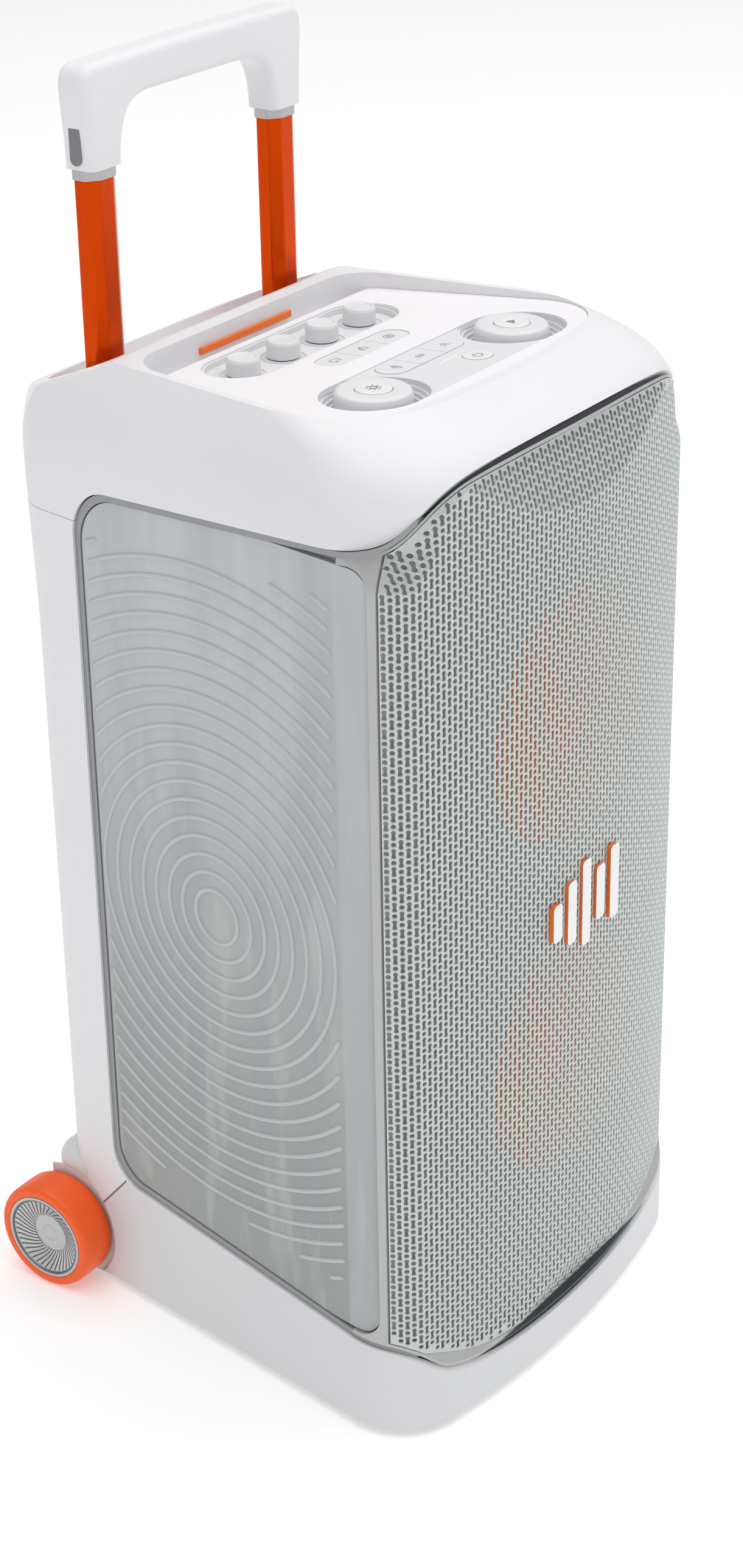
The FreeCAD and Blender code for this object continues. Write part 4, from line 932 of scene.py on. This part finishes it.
for name, side in (("left", -1), ("right", 1)):
    centre = middle("tyre_" + name)
    at = (side * WHEEL_FACE * MM, centre.y, centre.z)
    inwards = (-side, 0, 0)
    body = name + "_wheel"
    tyre = lathe("turned_tyre_" + name, TYRE, at, inwards, "orange_tyre", body, 0.5, 128)
    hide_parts("tyre_" + name)
    lathe("wheel_rim_" + name, RIM, at, inwards, "hub_silver", body, 0.3, 128)
    lathe("wheel_centre_" + name, HUB_CENTRE, at, inwards, "hub_silver", body, 0.3, 96)
    make_vanes("wheel_vanes_" + name, at, side, body)


# ---- printed marks ---------------------------------------------------------------------------------
def arc(cx, cy, r, start, end, count=14):
    """Points along an arc; the angles are in degrees."""
    angles = [math.radians(start + (end - start) * k / count) for k in range(count + 1)]
    return [(cx + r * math.cos(a), cy + r * math.sin(a)) for a in angles]


MARK_RAY = 0.75               # rays start at this height, above the controls
MARK_FOOT = -0.08             # the strokes' undersides, below the surface
STROKE_END = 8                # corners of a stroke's round end


def mark(name, node, centre, lines, width, material, lift=0.12):
    """Thin raised strokes on top of a piece; lines are in millimetres about the centre."""
    tree = node_tree_of(node)
    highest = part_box(node)[1].z
    verts, faces = [], []

    def top_at(x, y):
        """The height of the piece's top, or of its highest point beside the piece."""
        hit = tree.ray_cast(Vector((x, y, MARK_RAY)), Vector((0, 0, -1)), 0.2)
        return highest if hit[0] is None else hit[0].z

    def slab(corners):
        """One stroke, laid on the piece's top."""
        start = len(verts)
        for height in (lift, MARK_FOOT):
            for x, y in corners:
                px, py = (centre[0] + x) * MM, (centre[1] + y) * MM
                z = top_at(px, py)
                verts.append((px, py, z + height * MM))
        n = len(corners)
        faces.append([start + k for k in range(n)])
        for k in range(n):
            m = (k + 1) % n
            faces.append((start + k, start + n + k, start + n + m, start + m))

    for line in lines:
        for (x0, y0), (x1, y1) in zip(line, line[1:]):
            length = math.hypot(x1 - x0, y1 - y0)
            nx, ny = -(y1 - y0) / length * width / 2, (x1 - x0) / length * width / 2
            slab([(x0 - nx, y0 - ny), (x1 - nx, y1 - ny), (x1 + nx, y1 + ny), (x0 + nx, y0 + ny)])
        for x, y in line:
            slab([(x + math.cos(a) * width / 2, y + math.sin(a) * width / 2)
                  for a in [2 * math.pi * k / STROKE_END for k in range(STROKE_END)]])
    new_piece(name, verts, faces, material, BODY_OF[node], smooth=False)


SUN = [arc(0, 0, 2.2, 0, 360)]
SUN += [[(3.4 * math.cos(a), 3.4 * math.sin(a)), (4.8 * math.cos(a), 4.8 * math.sin(a))]
        for a in [math.pi * k / 4 for k in range(8)]]
PLAY = [[(-1.6, -2.6), (-1.6, 2.6), (2.8, 0.0), (-1.6, -2.6)],
        [(-0.8, -1.2), (-0.8, 1.2), (1.0, 0.0), (-0.8, -1.2)]]
BUBBLE = [[(-3.4, -1.4), (-3.4, 2.8), (3.4, 2.8), (3.4, -1.4),
           (-0.6, -1.4), (-2.2, -3.2), (-2.2, -1.4), (-3.4, -1.4)]]
CHEER = [[(-3.2, -2.6), (-3.2, 0.6), (-1.6, 0.6), (-1.6, -2.6), (-3.2, -2.6)],
         [(-1.6, 0.4), (0.2, 3.4), (1.0, 3.0), (0.6, 1.0), (3.2, 1.0), (2.6, -2.6), (-1.6, -2.6)]]
TARGET = [arc(0, 0, 3.3, 0, 360, 20), arc(0, 0, 1.4, 0, 360)]
WAVES = [arc(-2.4, 0, r, -52, 52) for r in (1.6, 3.4, 5.2)]
CHAIN = [arc(-1.4, 0, 1.7, 60, 300), arc(1.4, 0, 1.7, -120, 120), [(-1.2, 0), (1.2, 0)]]
BOOST = [[(-2.6, -0.4), (0, 2.6), (2.6, -0.4)], [(-2.6, -3.0), (0, 0.0), (2.6, -3.0)]]
POWER_SIGN = [arc(0, 0, 3.0, 125, 415, 18), [(0, 1.4), (0, 4.0)]]


def centre_mm(node):
    """Where a piece's middle is in plan, in millimetres."""
    centre = middle(node)
    return centre.x / MM, centre.y / MM


for node, lines in (("chat_key", BUBBLE), ("cheer_key", CHEER), ("record_key", TARGET),
                    ("wireless_key", WAVES), ("link_key", CHAIN), ("boost_key", BOOST)):
    mark("mark_" + node, node, centre_mm(node), lines, 0.62, "print_grey")
mark("mark_power", "power_key", centre_mm("power_key"), POWER_SIGN, 0.7, "print_grey")
mark("mark_sun", "light_knob_cap", centre_mm("light_knob_cap"), SUN, 0.5, "print_grey", 0.15)
mark("mark_play", "play_knob_cap", centre_mm("play_knob_cap"), PLAY, 0.7, "print_grey", 0.15)
mark("power_line", "main_panel", (0.8, -85.4), [[(-9.8, 0), (9.8, 0)]], 1.3, "print_white", 0.25)
MINUS = [[(-1.5, 0), (1.5, 0)]]
PLUS = MINUS + [[(0, -1.5), (0, 1.5)]]
SIGN_ASIDE, SIGN_FORWARD = 12.2, 16.4    # from a small knob's axis to its signs
for node in SMALL_KNOBS:
    x, y = centre_mm(node)
    for name, way, lines in (("minus_", -1, MINUS), ("plus_", 1, PLUS)):
        place = (x + way * SIGN_ASIDE, y - SIGN_FORWARD)
        mark(name + node, "mic_panel", place, lines, 0.6, "print_grey")


# ---- softened edges on the moulded parts ------------------------------------------------
SOFT_ANGLE = 38               # degrees; gentler folds stay as they are
SOFT_EDGES = {
    "top_cap": 1.0, "control_deck": 0.5, "base_shell": 1.4, "front_frame": 0.8, "mic_panel": 0.5,
    "main_panel": 0.4, "handle_collars": 0.6, "grip_inlays": 0.6, "tablet_strip": 0.4, "power_key": 0.4,
    "side_panel_left": 0.8, "side_panel_right": 0.8, "rear_shell": 1.0, "battery_door": 0.6,
    "port_cover": 0.6, "badge": 0.4, "rubber_feet": 0.8, "gap_trims": 0.4, "io_panel": 0.5,
}
for key in ("chat_key", "cheer_key", "record_key", "wireless_key", "link_key", "boost_key"):
    SOFT_EDGES[key] = 0.5
for node, width in SOFT_EDGES.items():
    round_edges(NODES[node], width * MM, SOFT_ANGLE)
